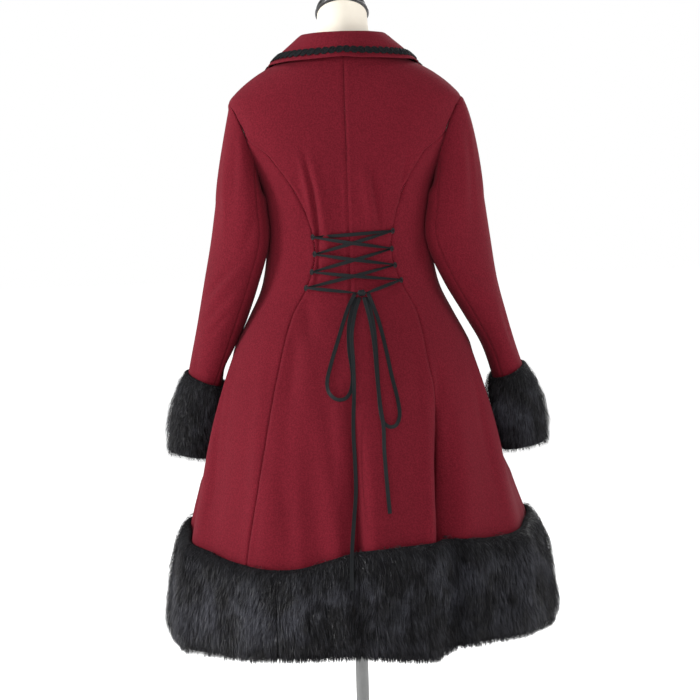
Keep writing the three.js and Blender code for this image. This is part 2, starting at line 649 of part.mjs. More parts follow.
// A point off the flat facets of a skirt panel, so that what lies on the panel clears it everywhere
function skirtPoint(angleAt, z, out) {
  const rows = SKIRT_ROWS;
  let i = 0;
  while (i < rows.length - 2 && rows[i + 1] < z) i += 1;
  const t = (z - rows[i]) / (rows[i + 1] - rows[i]);
  const [low, high] = [rows[i], rows[i + 1]];
  const point = cloth(angleAt(low), low).lerp(cloth(angleAt(high), high), t);
  return point.addScaledVector(plainNormal(angleAt(z), z), out);
}

// Columns of one side's panels as functions of height, from the centre back or front to a seam
function furColumns(name) {
  const middle = (side, front) => Array.from({ length: MIDDLE_COLUMNS + 1 }, (_, j) => (z) => {
    const local = middleAngle(side, front, j, z);
    const sign = side === 'left' ? 1 : -1;
    return sign * (front ? 180 - local : local);
  });
  const beside = (side, front) => Array.from({ length: SIDE_COLUMNS + 1 }, (_, j) => (z) => {
    const turn = rad(90 + 90 * j / SIDE_COLUMNS);
    const topSeam = seamAngle(side, armholeHeight(turn), front);
    const share = (90 - ARMHOLE.spread * Math.sin(turn) - topSeam) / (90 - topSeam);
    const local = mix(seamAngle(side, z, front), 90, share);
    return (side === 'left' ? 1 : -1) * (front ? 180 - local : local);
  });
  if (name === 'back') return [...middle('right', false).reverse(), ...middle('left', false).slice(1)];
  if (name === 'front') {
    const left = middle('left', true).slice(1).reverse();
    return [...left, ...middle('right', true).slice(2)];
  }
  return [...beside(name, false), ...beside(name, true).reverse().slice(1)];
}

function furHem(name) {
  const columns = furColumns(name);
  const last = columns.length - 1;
  const rows = (out) => FUR_PILE.map(({ up, thick }) => columns.map((angleAt, j) => {
    const angle = angleAt(500);
    const z = mix(read(FUR_EDGES, 'at', angle, 'foot'), read(FUR_EDGES, 'at', angle, 'top'), up);
    const step = degreesFor(SEAM / 2, angle, z);
    const inward = name === 'right' ? -1 : 1;
    const nudge = j === 0 ? step * inward : j === last ? -step * inward : 0;
    const lift = name === 'front' ? PROUD : 0;
    return skirtPoint((height) => angleAt(height) + nudge, z, (out === 'pile' ? thick : FUR_OFF) + lift);
  }));
  return shell(rows('pile'), rows('seat'));
}

// Ribbons

// A flat strip along points, each with the way that its upper face looks
function strip(points, facings) {
  const { width, thick } = RIBBON;
  const rows = points.map((point, i) => {
    const before = points[Math.max(i - 1, 0)];
    const after = points[Math.min(i + 1, points.length - 1)];
    const along = after.clone().sub(before).normalize();
    const across = along.clone().cross(facings[i]).normalize();
    const up = across.clone().cross(along).normalize();
    const corner = (side, lift) => point.clone().addScaledVector(across, side * width / 2)
      .addScaledVector(up, lift);
    return { top: [corner(-1, thick), corner(1, thick)], foot: [corner(-1, 0), corner(1, 0)] };
  });
  return shell(rows.map((row) => row.top), rows.map((row) => row.foot));
}

// A strip that follows the cloth from one place to another
function lacingStrip(from, to, off, count = 7) {
  const points = [];
  const facings = [];
  for (let i = 0; i <= count; i += 1) {
    const x = mix(from.x, to.x, i / count);
    const z = mix(from.z, to.z, i / count);
    const angle = angleAcross(x, z);
    points.push(offCloth(angle, z, off));
    facings.push(clothNormal(angle, z));
  }
  return strip(points, facings);
}

function hangingRibbon(path) {
  const points = [];
  const facings = [];
  for (const { x, z, off } of path) {
    points.push(new THREE.Vector3(x, cloth(angleAcross(x, z), z).y + off, z));
    facings.push(new THREE.Vector3(0, 1, 0));
  }
  return strip(points, facings);
}

function knot() {
  const angle = angleAcross(KNOT.x, KNOT.z);
  const middle = offCloth(angle, KNOT.z, KNOT.off);
  const geometry = new THREE.SphereGeometry(0.5, 12, 8);
  geometry.scale(KNOT.wide, KNOT.deep, KNOT.tall);
  geometry.translate(middle.x, middle.y, middle.z);
  return geometry;
}

// Dress form and stand

const FORM = [
  { z: 800, half: 128, back: 92, front: 96 },
  { z: 806, half: 142, back: 104, front: 108 },
  { z: 830, half: 156, back: 116, front: 116 },
  { z: 880, half: 163, back: 124, front: 118 },
  { z: 940, half: 148, back: 108, front: 108 },
  { z: 990, half: 130, back: 92, front: 100 },
];
const NECK = [
  { z: 1366, half: 71, back: 65, front: 50 },
  { z: 1380, half: 53, back: 55, front: 44 },
  { z: 1396, half: 43, back: 49, front: 41 },
  { z: 1412, half: 40, back: 47, front: 39 },
];
const NECK_TOP = { back: 1444, front: 1405 };

// The form follows the coat's sections, just inside the cloth
function formSection(z) {
  if (z < 1000) {
    const out = { power: 2.1 };
    for (const key of ['half', 'back', 'front']) out[key] = read(FORM, 'z', z, key);
    return out;
  }
  if (z > 1365) {
    const out = { power: 2 };
    for (const key of ['half', 'back', 'front']) out[key] = read(NECK, 'z', z, key);
    return out;
  }
  const shape = section(z);
  const inside = z > 1300 ? 3.4 : mix(6.5, 4.2, smooth((z - 1150) / 130));
  const slope = z > 1295 ? 3.2 * smooth((z - 1295) / 10) * smooth((1372 - z) / 10) : 0;
  const throat = 7 * smooth((z - 1295) / 25);
  const tip = 5 * smooth(1 - Math.abs(z - 1285) / 40);
  return {
    half: shape.half - inside - slope - tip, back: shape.back - inside, front: shape.front - inside - throat,
    power: shape.power,
  };
}

function formTorso() {
  const columns = 28;
  const levels = [800, 806, 830, 880, 940, 1000, 1060, 1110, 1155, 1200, 1240, 1270, 1288, 1303,
    1320, 1337, 1350, 1366, 1380, 1396, 1410];
  const points = [];
  for (const level of levels) {
    for (let j = 0; j < columns; j += 1) {
      const [x, y] = oval(formSection(level), 360 * j / columns);
      const sink = level > 1396 ? 4 * (1 - Math.cos(2 * Math.PI * j / columns)) : 0;
      points.push(new THREE.Vector3(x, y, level - sink));
    }
  }
  for (let j = 0; j < columns; j += 1) points.push(neckTop(360 * j / columns, 1, 0));
  const rows = levels.length + 1;
  const faces = [];
  for (let i = 0; i < rows - 1; i += 1) {
    for (let j = 0; j < columns; j += 1) {
      const next = (j + 1) % columns;
      const [a, b] = [i * columns + j, i * columns + next];
      faces.push(a, b, b + columns, a, b + columns, a + columns);
    }
  }
  const foot = points.push(new THREE.Vector3(0, 0, levels[0])) - 1;
  const middle = neckTop(0, 0, 0);
  const crown = points.push(middle) - 1;
  for (let j = 0; j < columns; j += 1) {
    const next = (j + 1) % columns;
    faces.push(foot, next, j);
    faces.push(crown, (rows - 1) * columns + j, (rows - 1) * columns + next);
  }
  return solid(points, faces);
}

// A point above the neck's slanted top: share of the neck's half width, and height above the slant
function neckTop(angle, share, above) {
  const [x, y] = oval({ half: 39.5, back: 45, front: 40, power: 2 }, angle);
  const slant = mix(NECK_TOP.front, NECK_TOP.back, (y * share + 40) / 85);
  return new THREE.Vector3(x * share, y * share + 1.5, slant + above);
}

function neckCap() {
  const columns = 24;
  const rings = [
    { share: 1.06, above: 0.4 }, { share: 1.08, above: 4 }, { share: 1.04, above: 10 },
    { share: 0.86, above: 18 }, { share: 0.55, above: 24 }, { share: 0.2, above: 27 },
  ];
  const points = [];
  for (const ring of rings) {
    for (let j = 0; j < columns; j += 1) points.push(neckTop(360 * j / columns, ring.share, ring.above));
  }
  const faces = [];
  for (let i = 0; i < rings.length - 1; i += 1) {
    for (let j = 0; j < columns; j += 1) {
      const [a, b] = [i * columns + j, i * columns + (j + 1) % columns];
      faces.push(a, b, b + columns, a, b + columns, a + columns);
    }
  }
  const under = points.push(neckTop(0, 0, 0.4)) - 1;
  const crown = points.push(neckTop(0, 0, 27.5)) - 1;
  for (let j = 0; j < columns; j += 1) {
    const next = (j + 1) % columns;
    faces.push(under, next, j);
    faces.push(crown, (rings.length - 1) * columns + j, (rings.length - 1) * columns + next);
  }
  return solid(points, faces);
}

const STAND = { radius: 190, thick: 8, hub: 26, hubTop: 58, pole: 10.5 };

function lathe(profile, segments) {
  const geometry = new THREE.LatheGeometry(profile.map(([r, z]) => new THREE.Vector2(r, z)), segments);
  geometry.rotateX(Math.PI / 2);
  return geometry;
}

function standBase() {
  const { radius, thick, hub, hubTop } = STAND;
  return lathe([[0, 0], [radius - 2, 0], [radius, 2], [radius, thick - 3], [radius - 3, thick],
    [hub + 10, thick + 3], [hub, thick + 8], [hub - 6, hubTop - 3], [hub - 9, hubTop], [0, hubTop]], 32);
}

function pole() {
  const geometry = new THREE.CylinderGeometry(STAND.pole, STAND.pole, 800 - SEAM * 2 - STAND.hubTop, 24);
  geometry.rotateX(Math.PI / 2);
  geometry.translate(0, 0, (800 + STAND.hubTop) / 2);
  return geometry;
}

function button(z) {
  const { radius, thick } = BUTTONS;
  const geometry = lathe([[0, 0], [radius - 1, 0], [radius, 1], [radius, thick - 1.5], [radius - 1.5, thick],
    [0, thick - 0.8]], 12);
  const normal = clothNormal(180, z);
  const middle = cloth(180, z);
  const rim = [-radius, 0, radius].flatMap((dz) => [-6, 0, 6].map((turn) => cloth(180 + turn, z + dz)));
  const rise = Math.max(...rim.map((point) => point.sub(middle).dot(normal)));
  geometry.applyQuaternion(new THREE.Quaternion().setFromUnitVectors(new THREE.Vector3(0, 0, 1), normal));
  const place = offCloth(180, z, PROUD + rise + 0.6);
  geometry.translate(place.x, place.y, place.z);
  return geometry;
}

// The parts, each a node of its own

const group = new THREE.Group();
group.name = 'princess_coat_on_dress_form';

function add(name, look, geometry) {
  const mesh = new THREE.Mesh(geometry, new THREE.MeshStandardMaterial(LOOKS[look]));
  mesh.name = name;
  group.add(mesh);
}

for (const side of ['left', 'right']) {
  add(`back_${side}`, 'wool', middlePanel(side, false));
  add(`side_back_${side}`, 'wool', sidePanel(side, false));
  add(`side_front_${side}`, 'wool', sidePanel(side, true));
  add(`front_${side}`, 'wool', middlePanel(side, true));
  add(`top_sleeve_${side}`, 'wool', sleevePiece(side, true));
  add(`under_sleeve_${side}`, 'wool', sleevePiece(side, false));
  add(`fur_cuff_${side}`, 'fur', furCuff(side));
}
add('collar', 'wool', collar());
add('collar_braid', 'braid', collarBraid());

for (const name of ['back', 'left', 'front', 'right']) add(`fur_hem_${name}`, 'fur', furHem(name));

for (let k = 0; k < BUTTONS.count; k += 1) {
  add(`button_${k + 1}`, 'button', button(mix(BUTTONS.high, BUTTONS.low, k / (BUTTONS.count - 1))));
}

const eyelet = (side, k) => {
  const z = LOOP_HEIGHTS[side][k];
  const x = read(PRINCESS, 'z', z, side);
  return { x: side === 'left' ? x : -x, z };
};
for (const side of ['left', 'right']) {
  const inward = side === 'left' ? -1 : 1;
  LOOP_HEIGHTS[side].forEach((_, k) => {
    const { x, z } = eyelet(side, k);
    const loop = lacingStrip({ x: x - inward * 2, z }, { x: x + inward * 7, z }, 1, 2);
    add(`lacing_loop_${side}_${k + 1}`, 'ribbon', loop);
  });
}
add('lacing_top_bar', 'ribbon', lacingStrip(eyelet('left', 0), eyelet('right', 0), 2.3));
for (let k = 0; k < 3; k += 1) {
  const falling = { from: eyelet('right', k), to: eyelet('left', k + 1) };
  const rising = { from: eyelet('left', k), to: eyelet('right', k + 1) };
  add(`lacing_under_${k + 1}`, 'ribbon', lacingStrip(falling.from, falling.to, 3.2));
  add(`lacing_over_${k + 1}`, 'ribbon', lacingStrip(rising.from, rising.to, 4.3));
}
const toKnot = (side) => ({ x: KNOT.x + (side === 'left' ? 1 : -1) * (KNOT.wide / 2 + 0.4), z: KNOT.z });
add('lacing_end_left', 'ribbon', lacingStrip(eyelet('left', 3), toKnot('left'), 5.9));
add('lacing_end_right', 'ribbon', lacingStrip(eyelet('right', 3), toKnot('right'), 5.9));
add('bow_knot', 'ribbon', knot());
add('bow_loop_left', 'ribbon', hangingRibbon(BOW_LEFT));
add('bow_loop_right', 'ribbon', hangingRibbon(BOW_RIGHT));
add('ribbon_tail_left', 'ribbon', hangingRibbon(TAIL_LEFT));
add('ribbon_tail_right', 'ribbon', hangingRibbon(TAIL_RIGHT));

add('form_torso', 'cover', formTorso());
add('neck_cap', 'pewter', neckCap());
add('pole', 'steel', pole());
add('stand_base', 'steel', standBase());

export default group;
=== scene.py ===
# %% [markdown]
# A fur-trimmed princess coat seen from behind, on a limbless dress form. This lesson takes the packed
# solids as a frame and dresses them: thin wool panels in place of thick ones, fur made of thousands of
# tapering hairs, satin lacing with a bow, and a stand in brushed steel. All the sizes below are in
# millimetres and are turned into metres only where a mesh is made.

# %% Load the frame
import bpy
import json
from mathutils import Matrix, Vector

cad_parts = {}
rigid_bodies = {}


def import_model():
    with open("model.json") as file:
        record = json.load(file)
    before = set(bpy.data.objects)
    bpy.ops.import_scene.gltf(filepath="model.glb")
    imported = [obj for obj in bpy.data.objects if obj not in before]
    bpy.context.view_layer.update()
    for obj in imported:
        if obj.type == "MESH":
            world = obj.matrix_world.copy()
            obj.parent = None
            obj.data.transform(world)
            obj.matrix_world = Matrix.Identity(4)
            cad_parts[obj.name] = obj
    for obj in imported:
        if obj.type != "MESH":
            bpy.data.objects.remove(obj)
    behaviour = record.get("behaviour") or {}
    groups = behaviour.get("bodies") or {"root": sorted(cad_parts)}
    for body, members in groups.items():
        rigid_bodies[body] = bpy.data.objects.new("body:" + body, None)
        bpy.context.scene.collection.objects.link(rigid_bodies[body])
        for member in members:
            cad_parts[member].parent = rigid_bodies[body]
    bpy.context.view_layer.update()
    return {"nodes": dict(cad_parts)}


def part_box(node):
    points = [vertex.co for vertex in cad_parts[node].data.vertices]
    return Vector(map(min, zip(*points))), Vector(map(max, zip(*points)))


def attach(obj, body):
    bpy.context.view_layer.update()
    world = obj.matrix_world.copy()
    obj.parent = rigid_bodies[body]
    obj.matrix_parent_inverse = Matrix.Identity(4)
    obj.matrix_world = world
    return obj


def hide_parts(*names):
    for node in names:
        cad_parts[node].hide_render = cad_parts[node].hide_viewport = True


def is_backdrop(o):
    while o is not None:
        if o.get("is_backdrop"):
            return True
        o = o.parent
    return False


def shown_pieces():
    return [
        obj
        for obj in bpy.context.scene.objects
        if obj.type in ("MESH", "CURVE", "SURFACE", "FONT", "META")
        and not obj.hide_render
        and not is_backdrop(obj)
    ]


for leftover in list(bpy.data.objects):
    bpy.data.objects.remove(leftover)
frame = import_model()

import json
import math

import numpy as np
from mathutils import Matrix, Vector

MM = 0.001
BODY = "root"
chance = np.random.default_rng(11)

# %% [markdown]
# The camera stands four metres behind the coat, a little above its waist, and looks slightly down. A
# long lens from far away keeps the shoulders and hem in their true proportions. It is rolled by less
# than two degrees, because the form in the photograph leans by that much.

# %% The camera
FOCAL_PIXELS = 2500
PICTURE_PIXELS = 700
camera_data = bpy.data.cameras.new("camera")
camera_data.sensor_width = 36
camera_data.lens = FOCAL_PIXELS / PICTURE_PIXELS * camera_data.sensor_width
camera = bpy.data.objects.new("camera", camera_data)
bpy.context.scene.collection.objects.link(camera)
bpy.context.scene.camera = camera

CAMERA_PLACE = Vector((0.0, 4.0, 1.138))
CAMERA_AIM = Vector((0.0037, 0.0, 0.890))
CAMERA_ROLL = math.atan(0.0308)
looks_along = (CAMERA_AIM - CAMERA_PLACE).normalized()
level_right = looks_along.cross(Vector((0, 0, 1))).normalized()
level_up = level_right.cross(looks_along)
right = level_right * math.cos(CAMERA_ROLL) - level_up * math.sin(CAMERA_ROLL)
up = level_up * math.cos(CAMERA_ROLL) + level_right * math.sin(CAMERA_ROLL)
turn = Matrix((right, up, -looks_along)).transposed()
camera.matrix_world = Matrix.Translation(CAMERA_PLACE) @ turn.to_4x4()
print("lens", round(camera_data.lens, 1), "mm")

# %% [markdown]
# The coat's shape is a stack of squared ovals, one table row for each height: half width, depth to the
# back, depth to the front, and the power that squares the oval. Any height in between is read from a
# smooth curve through the rows. The same tables made the solids, so every piece fits its solid.

# %% The coat's sections
CLOTH = 2
SEAM = 0.35
HEM = 462
ARMHOLE_HEIGHT, ARMHOLE_UP, ARMHOLE_DOWN, ARMHOLE_SPREAD = 1235, 55, 85, 24
SHOULDER_TIP = ARMHOLE_HEIGHT + ARMHOLE_UP
OVERLAP = 6
PROUD = 2.5

SECTIONS = np.array([
    (440, 292, 297, 266, 2.0), (520, 283, 291, 257, 2.0), (600, 271, 279, 244, 2.05),
    (700, 245, 243, 218, 2.1), (800, 222, 200, 190, 2.15), (865, 203, 168, 168, 2.2),
    (910, 183, 145, 148, 2.2), (950, 162, 122, 128, 2.2), (990, 143, 104, 112, 2.2),
    (1030, 134, 95, 106, 2.15), (1070, 131, 92, 108, 2.15), (1110, 132, 93, 114, 2.2),
    (1155, 139, 96, 121, 2.3), (1200, 157, 98, 122, 2.4), (1240, 174, 97, 115, 2.4),
    (1270, 182, 94, 105, 2.35), (1290, 184, 90, 97, 2.3), (1303, 174, 88, 91, 2.25),
    (1320, 155, 84, 83, 2.2), (1337, 130, 80, 75, 2.1), (1350, 103, 77, 68, 2.05),
    (1366, 77, 71, 60, 2.0), (1385, 70, 66, 55, 2.0), (1405, 66, 62, 52, 2.0),
])
# Seam tables: height, then the distance from the centre back (left, right) or from the centre front
PRINCESS = np.array([
    (440, 186, 132), (600, 166, 128), (700, 147, 134), (800, 130, 131), (880, 113, 117),
    (950, 93, 104), (990, 71, 85), (1020, 59, 72), (1060, 54, 66), (1110, 67, 76),
    (1160, 92, 95), (1204, 124, 123),
])
FRONT_PRINCESS = np.array([
    (440, 170), (700, 132), (880, 100), (990, 74), (1060, 72), (1150, 92), (1204, 124),
])
NECKLINE = np.array([
    (0, 1370), (50, 1368), (90, 1364), (130, 1343), (160, 1318), (180, 1308),
])
# Folds: angle at the top and foot, how far it stands out, half width in degrees, top and foot heights
FOLDS = [
    ("left ridge", 76, 60, 11, 11, 930, 430),
    ("right ridge", -74, -52, 9, 13, 900, 430),
    ("right princess valley", -36, -27, -20, 7.5, 850, 420),
    ("centre back valley", 1.5, 0.5, -9, 5.5, 860, 420),
    ("centre back ridge", -8, -8, 5, 6, 860, 420),
    ("left back trough", 17, 9, -6, 7, 820, 430),
    ("left princess swell", 27, 33, 5, 9, 900, 430),
    ("left cuff hollow", 90, 90, -15, 19, 900, 690),
    ("right cuff hollow", -90, -90, -15, 19, 900, 690),
    ("left side valley", 100, 97, -11, 9, 760, 420),
    ("right hem swing", -84, -80, 9, 34, 700, 400),
    ("right side valley", -101, -98, -11, 9, 760, 420),
    ("left front fold", 132, 128, -14, 9, 850, 420),
    ("right front fold", -130, -126, -13, 10, 840, 420),
    ("left front swell", 150, 150, 6, 10, 850, 420),
    ("right front swell", -151, -148, 6, 11, 850, 420),
]


def mix(a, b, t):
    return a + (b - a) * t


def smooth(t):
    t = np.clip(t, 0, 1)
    return t * t * (3 - 2 * t)


def read(rows, place, column=1):
    """Values of a table at some places, on a smooth curve through its rows."""
    keys, values = rows[:, 0], rows[:, column]
    if keys[0] > keys[-1]:
        keys, values = keys[::-1], values[::-1]
    slopes = np.empty(len(keys))
    slopes[1:-1] = (values[2:] - values[:-2]) / (keys[2:] - keys[:-2])
    slopes[0] = (values[1] - values[0]) / (keys[1] - keys[0])
    slopes[-1] = (values[-1] - values[-2]) / (keys[-1] - keys[-2])
    place = np.clip(np.asarray(place, float), keys[0], keys[-1])
    i = np.clip(np.searchsorted(keys, place) - 1, 0, len(keys) - 2)
    span = keys[i + 1] - keys[i]
    t = (place - keys[i]) / span
    return ((2 * t**3 - 3 * t**2 + 1) * values[i] + (t**3 - 2 * t**2 + t) * span * slopes[i]
            + (3 * t**2 - 2 * t**3) * values[i + 1] + (t**3 - t**2) * span * slopes[i + 1])


def fold_offset(angle, z):
    out = np.zeros(np.broadcast(angle, z).shape)
    for name, top, foot, reach, wide, high, low in FOLDS:
        down = (high - z) / (high - low)
        away = np.abs(angle - mix(top, foot, down)) / wide
        strength = np.sin(np.pi * np.clip(down, 0, 1)) if "hollow" in name else smooth(down * 2.2)
        inside = (down > 0) & (down < 1.0001) & (away < 1)
        out = out + np.where(inside, reach * strength * (0.5 + 0.5 * np.cos(np.pi * away)), 0)
    return out


def oval(half, back, front, power, angle):
    s, c = np.sin(np.radians(angle)), np.cos(np.radians(angle))
    x = half * np.sign(s) * np.abs(s) ** (2 / power)
    y = np.where(c > 0, back, front) * np.sign(c) * np.abs(c) ** (2 / power)
    return x, y


def section(z):
    return [read(SECTIONS, z, column) for column in (1, 2, 3, 4)]


def cloth(angle, z):
    """The outside of the cloth at an angle from the centre back and a height."""
    angle, z = np.broadcast_arrays(np.asarray(angle, float), np.asarray(z, float))
    x, y = oval(*section(z), angle)
    grow = 1 + fold_offset(angle, z) / np.hypot(x, y)
    return np.stack([x * grow, y * grow, z], -1)


def unit(v):
    return v / np.maximum(np.linalg.norm(v, axis=-1, keepdims=True), 1e-12)


def cloth_normal(angle, z, wide=0.6, tall=1.5):
    across = cloth(angle + wide, z) - cloth(angle - wide, z)
    rise = cloth(angle, z + tall) - cloth(angle, z - tall)
    return unit(np.cross(rise, across))


def plain_normal(angle, z):
    """The way out from the body, leaving the folds aside."""
    def place(a, h):
        x, y = oval(*section(h), a)
        return np.stack([x, y, h + 0 * x], -1)
    rise = place(angle, z + 6) - place(angle, z - 6)
    across = place(angle + 2, z) - place(angle - 2, z)
    return unit(np.cross(rise, across))


def angle_across(x, z):
    half, _, _, power = section(z)
    return np.sign(x) * np.degrees(np.arcsin(np.minimum(1, np.abs(x) / half) ** (power / 2)))


def run_lengths(line):
    """How far along a line of points each of them is."""
    return np.concatenate([[0], np.cumsum(np.linalg.norm(np.diff(line, axis=0), axis=1))])


print("waist round:", round(float(run_lengths(cloth(np.arange(0, 361, 2.0), 1060.0))[-1])), "mm")

# %% [markdown]
# A mesh can be written straight from lists of points and faces. Most of the pieces here are grids: a
# grid of points on the outside and one on the inside make a closed shell once their rims are joined.
# The helpers below write such a mesh quickly, and keep two values for the materials to read, one
# across and one along the piece, as an ordinary UV map.

# %% Mesh helpers
def mesh_piece(name, points, faces, material, uv=None):
    """A new object from points in millimetres and faces as arrays of the same number of corners."""
    faces = [np.asarray(f) for f in faces if len(f)]
    mesh = bpy.data.meshes.new(name)
    mesh.vertices.add(len(points))
    mesh.vertices.foreach_set("co", (np.asarray(points, float) * MM).ravel())
    corners = np.concatenate([f.ravel() for f in faces])
    totals = np.concatenate([np.full(len(f), f.shape[1]) for f in faces])
    mesh.loops.add(len(corners))
    mesh.loops.foreach_set("vertex_index", corners.astype(np.int32))
    mesh.polygons.add(len(totals))
    starts = np.concatenate([[0], np.cumsum(totals)[:-1]])
    mesh.polygons.foreach_set("loop_start", starts.astype(np.int32))
    mesh.polygons.foreach_set("use_smooth", np.ones(len(totals), bool))
    mesh.update(calc_edges=True)
    if uv is not None:
        layer = mesh.uv_layers.new(name="lay")
        layer.data.foreach_set("uv", np.asarray(uv, float)[corners].ravel())
    mesh.validate()
    mesh.materials.append(material)
    piece = bpy.data.objects.new(name, mesh)
    bpy.context.scene.collection.objects.link(piece)
    return piece


def grid_faces(rows, columns, first=0, ring=False):
    i, j = np.meshgrid(np.arange(rows - 1), np.arange(columns if ring else columns - 1), indexing="ij")
    i, j = i.ravel(), j.ravel()
    after = (j + 1) % columns
    start, end = i * columns, (i + 1) * columns
    return first + np.stack([start + j, start + after, end + after, end + j], 1)


def signed_volume(points, quads):
    """Above zero when the quads of a closed piece face out."""
    a, b, c, d = (points[quads[:, k]] for k in range(4))
    return np.sum(a * np.cross(b, c)) + np.sum(a * np.cross(c, d))


def shell_points(outer, inner, ring=False):
    """Points, faces and UVs of the closed shell between two grids."""
    rows, columns = outer.shape[:2]
    points = np.concatenate([outer.reshape(-1, 3), inner.reshape(-1, 3)])
    layer = rows * columns
    top = grid_faces(rows, columns, 0, ring)
    under = grid_faces(rows, columns, layer, ring)[:, ::-1]
    spans = np.arange(columns if ring else columns - 1)
    after = (spans + 1) % columns
    far = (rows - 1) * columns
    rims = [np.stack([layer + spans, layer + after, after, spans], 1),
            np.stack([far + spans, far + after, layer + far + after, layer + far + spans], 1)]
    if not ring:
        k = np.arange(rows - 1) * columns
        e = k + columns - 1
        rims.append(np.stack([k, k + columns, layer + k + columns, layer + k], 1))
        rims.append(np.stack([layer + e, layer + e + columns, e + columns, e], 1))
    u, v = np.meshgrid(run_lengths(outer[rows // 2]), run_lengths(outer[:, columns // 2]))
    uv = np.stack([u.ravel(), v.ravel()], 1) * MM
    faces = np.concatenate([top, under] + rims)
    if signed_volume(points, faces) <= 0:
        faces = faces[:, ::-1]
    return points, faces, np.concatenate([uv, uv])


def shell_piece(name, outer, inner, material):
    points, faces, uv = shell_points(outer, inner)
    return mesh_piece(name, points, [faces], material, uv)


def capped_rings(rings, foot, crown, ends_in=False):
    """Points, side faces and end faces of a round piece, from its rings and the points that close it.

    With ends_in the end faces look inwards, which keeps their shade off the sides near the rims.
    """
    rows, columns = rings.shape[:2]
    points = np.concatenate([rings.reshape(-1, 3), [foot, crown]])
    quads = grid_faces(rows, columns, 0, True)
    j = np.arange(columns)
    after = (j + 1) % columns
    last = (rows - 1) * columns
    caps = np.concatenate([np.stack([0 * j + len(points) - 2, after, j], 1),
                           np.stack([0 * j + len(points) - 1, last + j, last + after], 1)])
    if signed_volume(points - points.mean(0), quads) < 0:
        quads, caps = quads[:, ::-1], caps[:, ::-1]
    if ends_in:
        caps = caps[:, ::-1]
    return points, quads, caps


def grid_normals(grid):
    return unit(np.cross(np.gradient(grid, axis=1), np.gradient(grid, axis=0)))


def with_cut(piece, grid):
    """A cloth piece with the width, length and area of its grid laid flat, in metres."""
    width = max(np.sum(np.linalg.norm(np.diff(grid, axis=1), axis=-1), 1)) * MM
    length = max(np.sum(np.linalg.norm(np.diff(grid, axis=0), axis=-1), 0)) * MM
    crossed = np.cross(grid[1:, 1:] - grid[:-1, :-1], grid[1:, :-1] - grid[:-1, 1:])
    area = float(np.sum(np.linalg.norm(crossed, axis=-1)) / 2 * MM * MM)
    return piece, round(float(width), 3), round(float(length), 3), area


def joined(parts):
    """Several point and face lists as one."""
    points, faces, uvs, first = [], [], [], 0
    for p, f, uv in parts:
        points.append(p)
        faces.append(f + first)
        uvs.append(uv)
        first += len(p)
    return np.concatenate(points), np.concatenate(faces), np.concatenate(uvs)


def settle(piece, slot, *nodes):
    """Every piece rides on the one body and stands for its solids, which it hides. The slot is not used."""
    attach(piece, BODY)
    if nodes:
        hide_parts(*nodes)
    return piece


print("helpers ready")

# %% [markdown]
# Every finish is built from noise in the object's own space, so that it has the same scale on each
# piece and needs no picture. Two effects serve several finishes and are made once as node groups: a
# soft mottle, for slow changes of tone and, on the fur, for patches of painted sheen, and fine fibres,
# for nap and weave.

# %% Shader helpers
def add_node(tree, kind, **settings):
    node = tree.nodes.new(kind)
    for name, value in settings.items():
        setattr(node, name, value)
    return node


def feed(tree, source, target):
    tree.links.new(source, target)


def math_node(tree, operation, first, second):
    """A Math node on two sockets or numbers."""
    node = add_node(tree, "ShaderNodeMath", operation=operation)
    for value, socket in zip((first, second), node.inputs):
        if isinstance(value, (int, float)):
            socket.default_value = value
        else:
            feed(tree, value, socket)
    return node.outputs[0]


def new_group(name, inputs, outputs):
    tree = bpy.data.node_groups.new(name, "ShaderNodeTree")
    for socket, kind, value in inputs:
        made = tree.interface.new_socket(socket, in_out="INPUT", socket_type=kind)
        if value is not None:
            made.default_value = value
    for socket, kind in outputs:
        tree.interface.new_socket(socket, in_out="OUTPUT", socket_type=kind)
    return tree, tree.nodes.new("NodeGroupInput"), tree.nodes.new("NodeGroupOutput")


def noise(tree, place, scale, detail=2, roughness=0.5):
    node = add_node(tree, "ShaderNodeTexNoise")
    node.inputs["Detail"].default_value = detail
    node.inputs["Roughness"].default_value = roughness
    feed(tree, place, node.inputs["Vector"])
    if isinstance(scale, (int, float)):
        node.inputs["Scale"].default_value = scale
    else:
        feed(tree, scale, node.inputs["Scale"])
    return node.outputs["Fac"]


soft_mottle, gin, gout = new_group(
    "soft mottle",
    [("Place", "NodeSocketVector", None), ("Patch per metre", "NodeSocketFloat", 20.0),
     ("Contrast", "NodeSocketFloat", 2.0)],
    [("Mask", "NodeSocketFloat")])
wide = noise(soft_mottle, gin.outputs["Place"], gin.outputs["Patch per metre"], 4, 0.6)
centred = math_node(soft_mottle, "SUBTRACT", wide, 0.5)
stretched = math_node(soft_mottle, "MULTIPLY", centred, gin.outputs["Contrast"])
clamp = add_node(soft_mottle, "ShaderNodeClamp")
feed(soft_mottle, math_node(soft_mottle, "ADD", stretched, 0.5), clamp.inputs["Value"])
feed(soft_mottle, clamp.outputs[0], gout.inputs["Mask"])

fine_fibres, gin, gout = new_group(
    "fine fibres",
    [("Place", "NodeSocketVector", None), ("Fibres per metre", "NodeSocketFloat", 900.0),
     ("Stretch", "NodeSocketVector", (1.0, 1.0, 1.0))],
    [("Mask", "NodeSocketFloat"), ("Height", "NodeSocketFloat")])
pulled = add_node(fine_fibres, "ShaderNodeVectorMath", operation="MULTIPLY")
feed(fine_fibres, gin.outputs["Place"], pulled.inputs[0])
feed(fine_fibres, gin.outputs["Stretch"], pulled.inputs[1])
small = noise(fine_fibres, pulled.outputs[0], gin.outputs["Fibres per metre"], 3, 0.65)
coarse = noise(fine_fibres, pulled.outputs[0],
               math_node(fine_fibres, "MULTIPLY", gin.outputs["Fibres per metre"], 0.3), 2, 0.5)
feed(fine_fibres, small, gout.inputs["Mask"])
feed(fine_fibres, math_node(fine_fibres, "ADD", math_node(fine_fibres, "MULTIPLY", coarse, 0.6), small),
     gout.inputs["Height"])


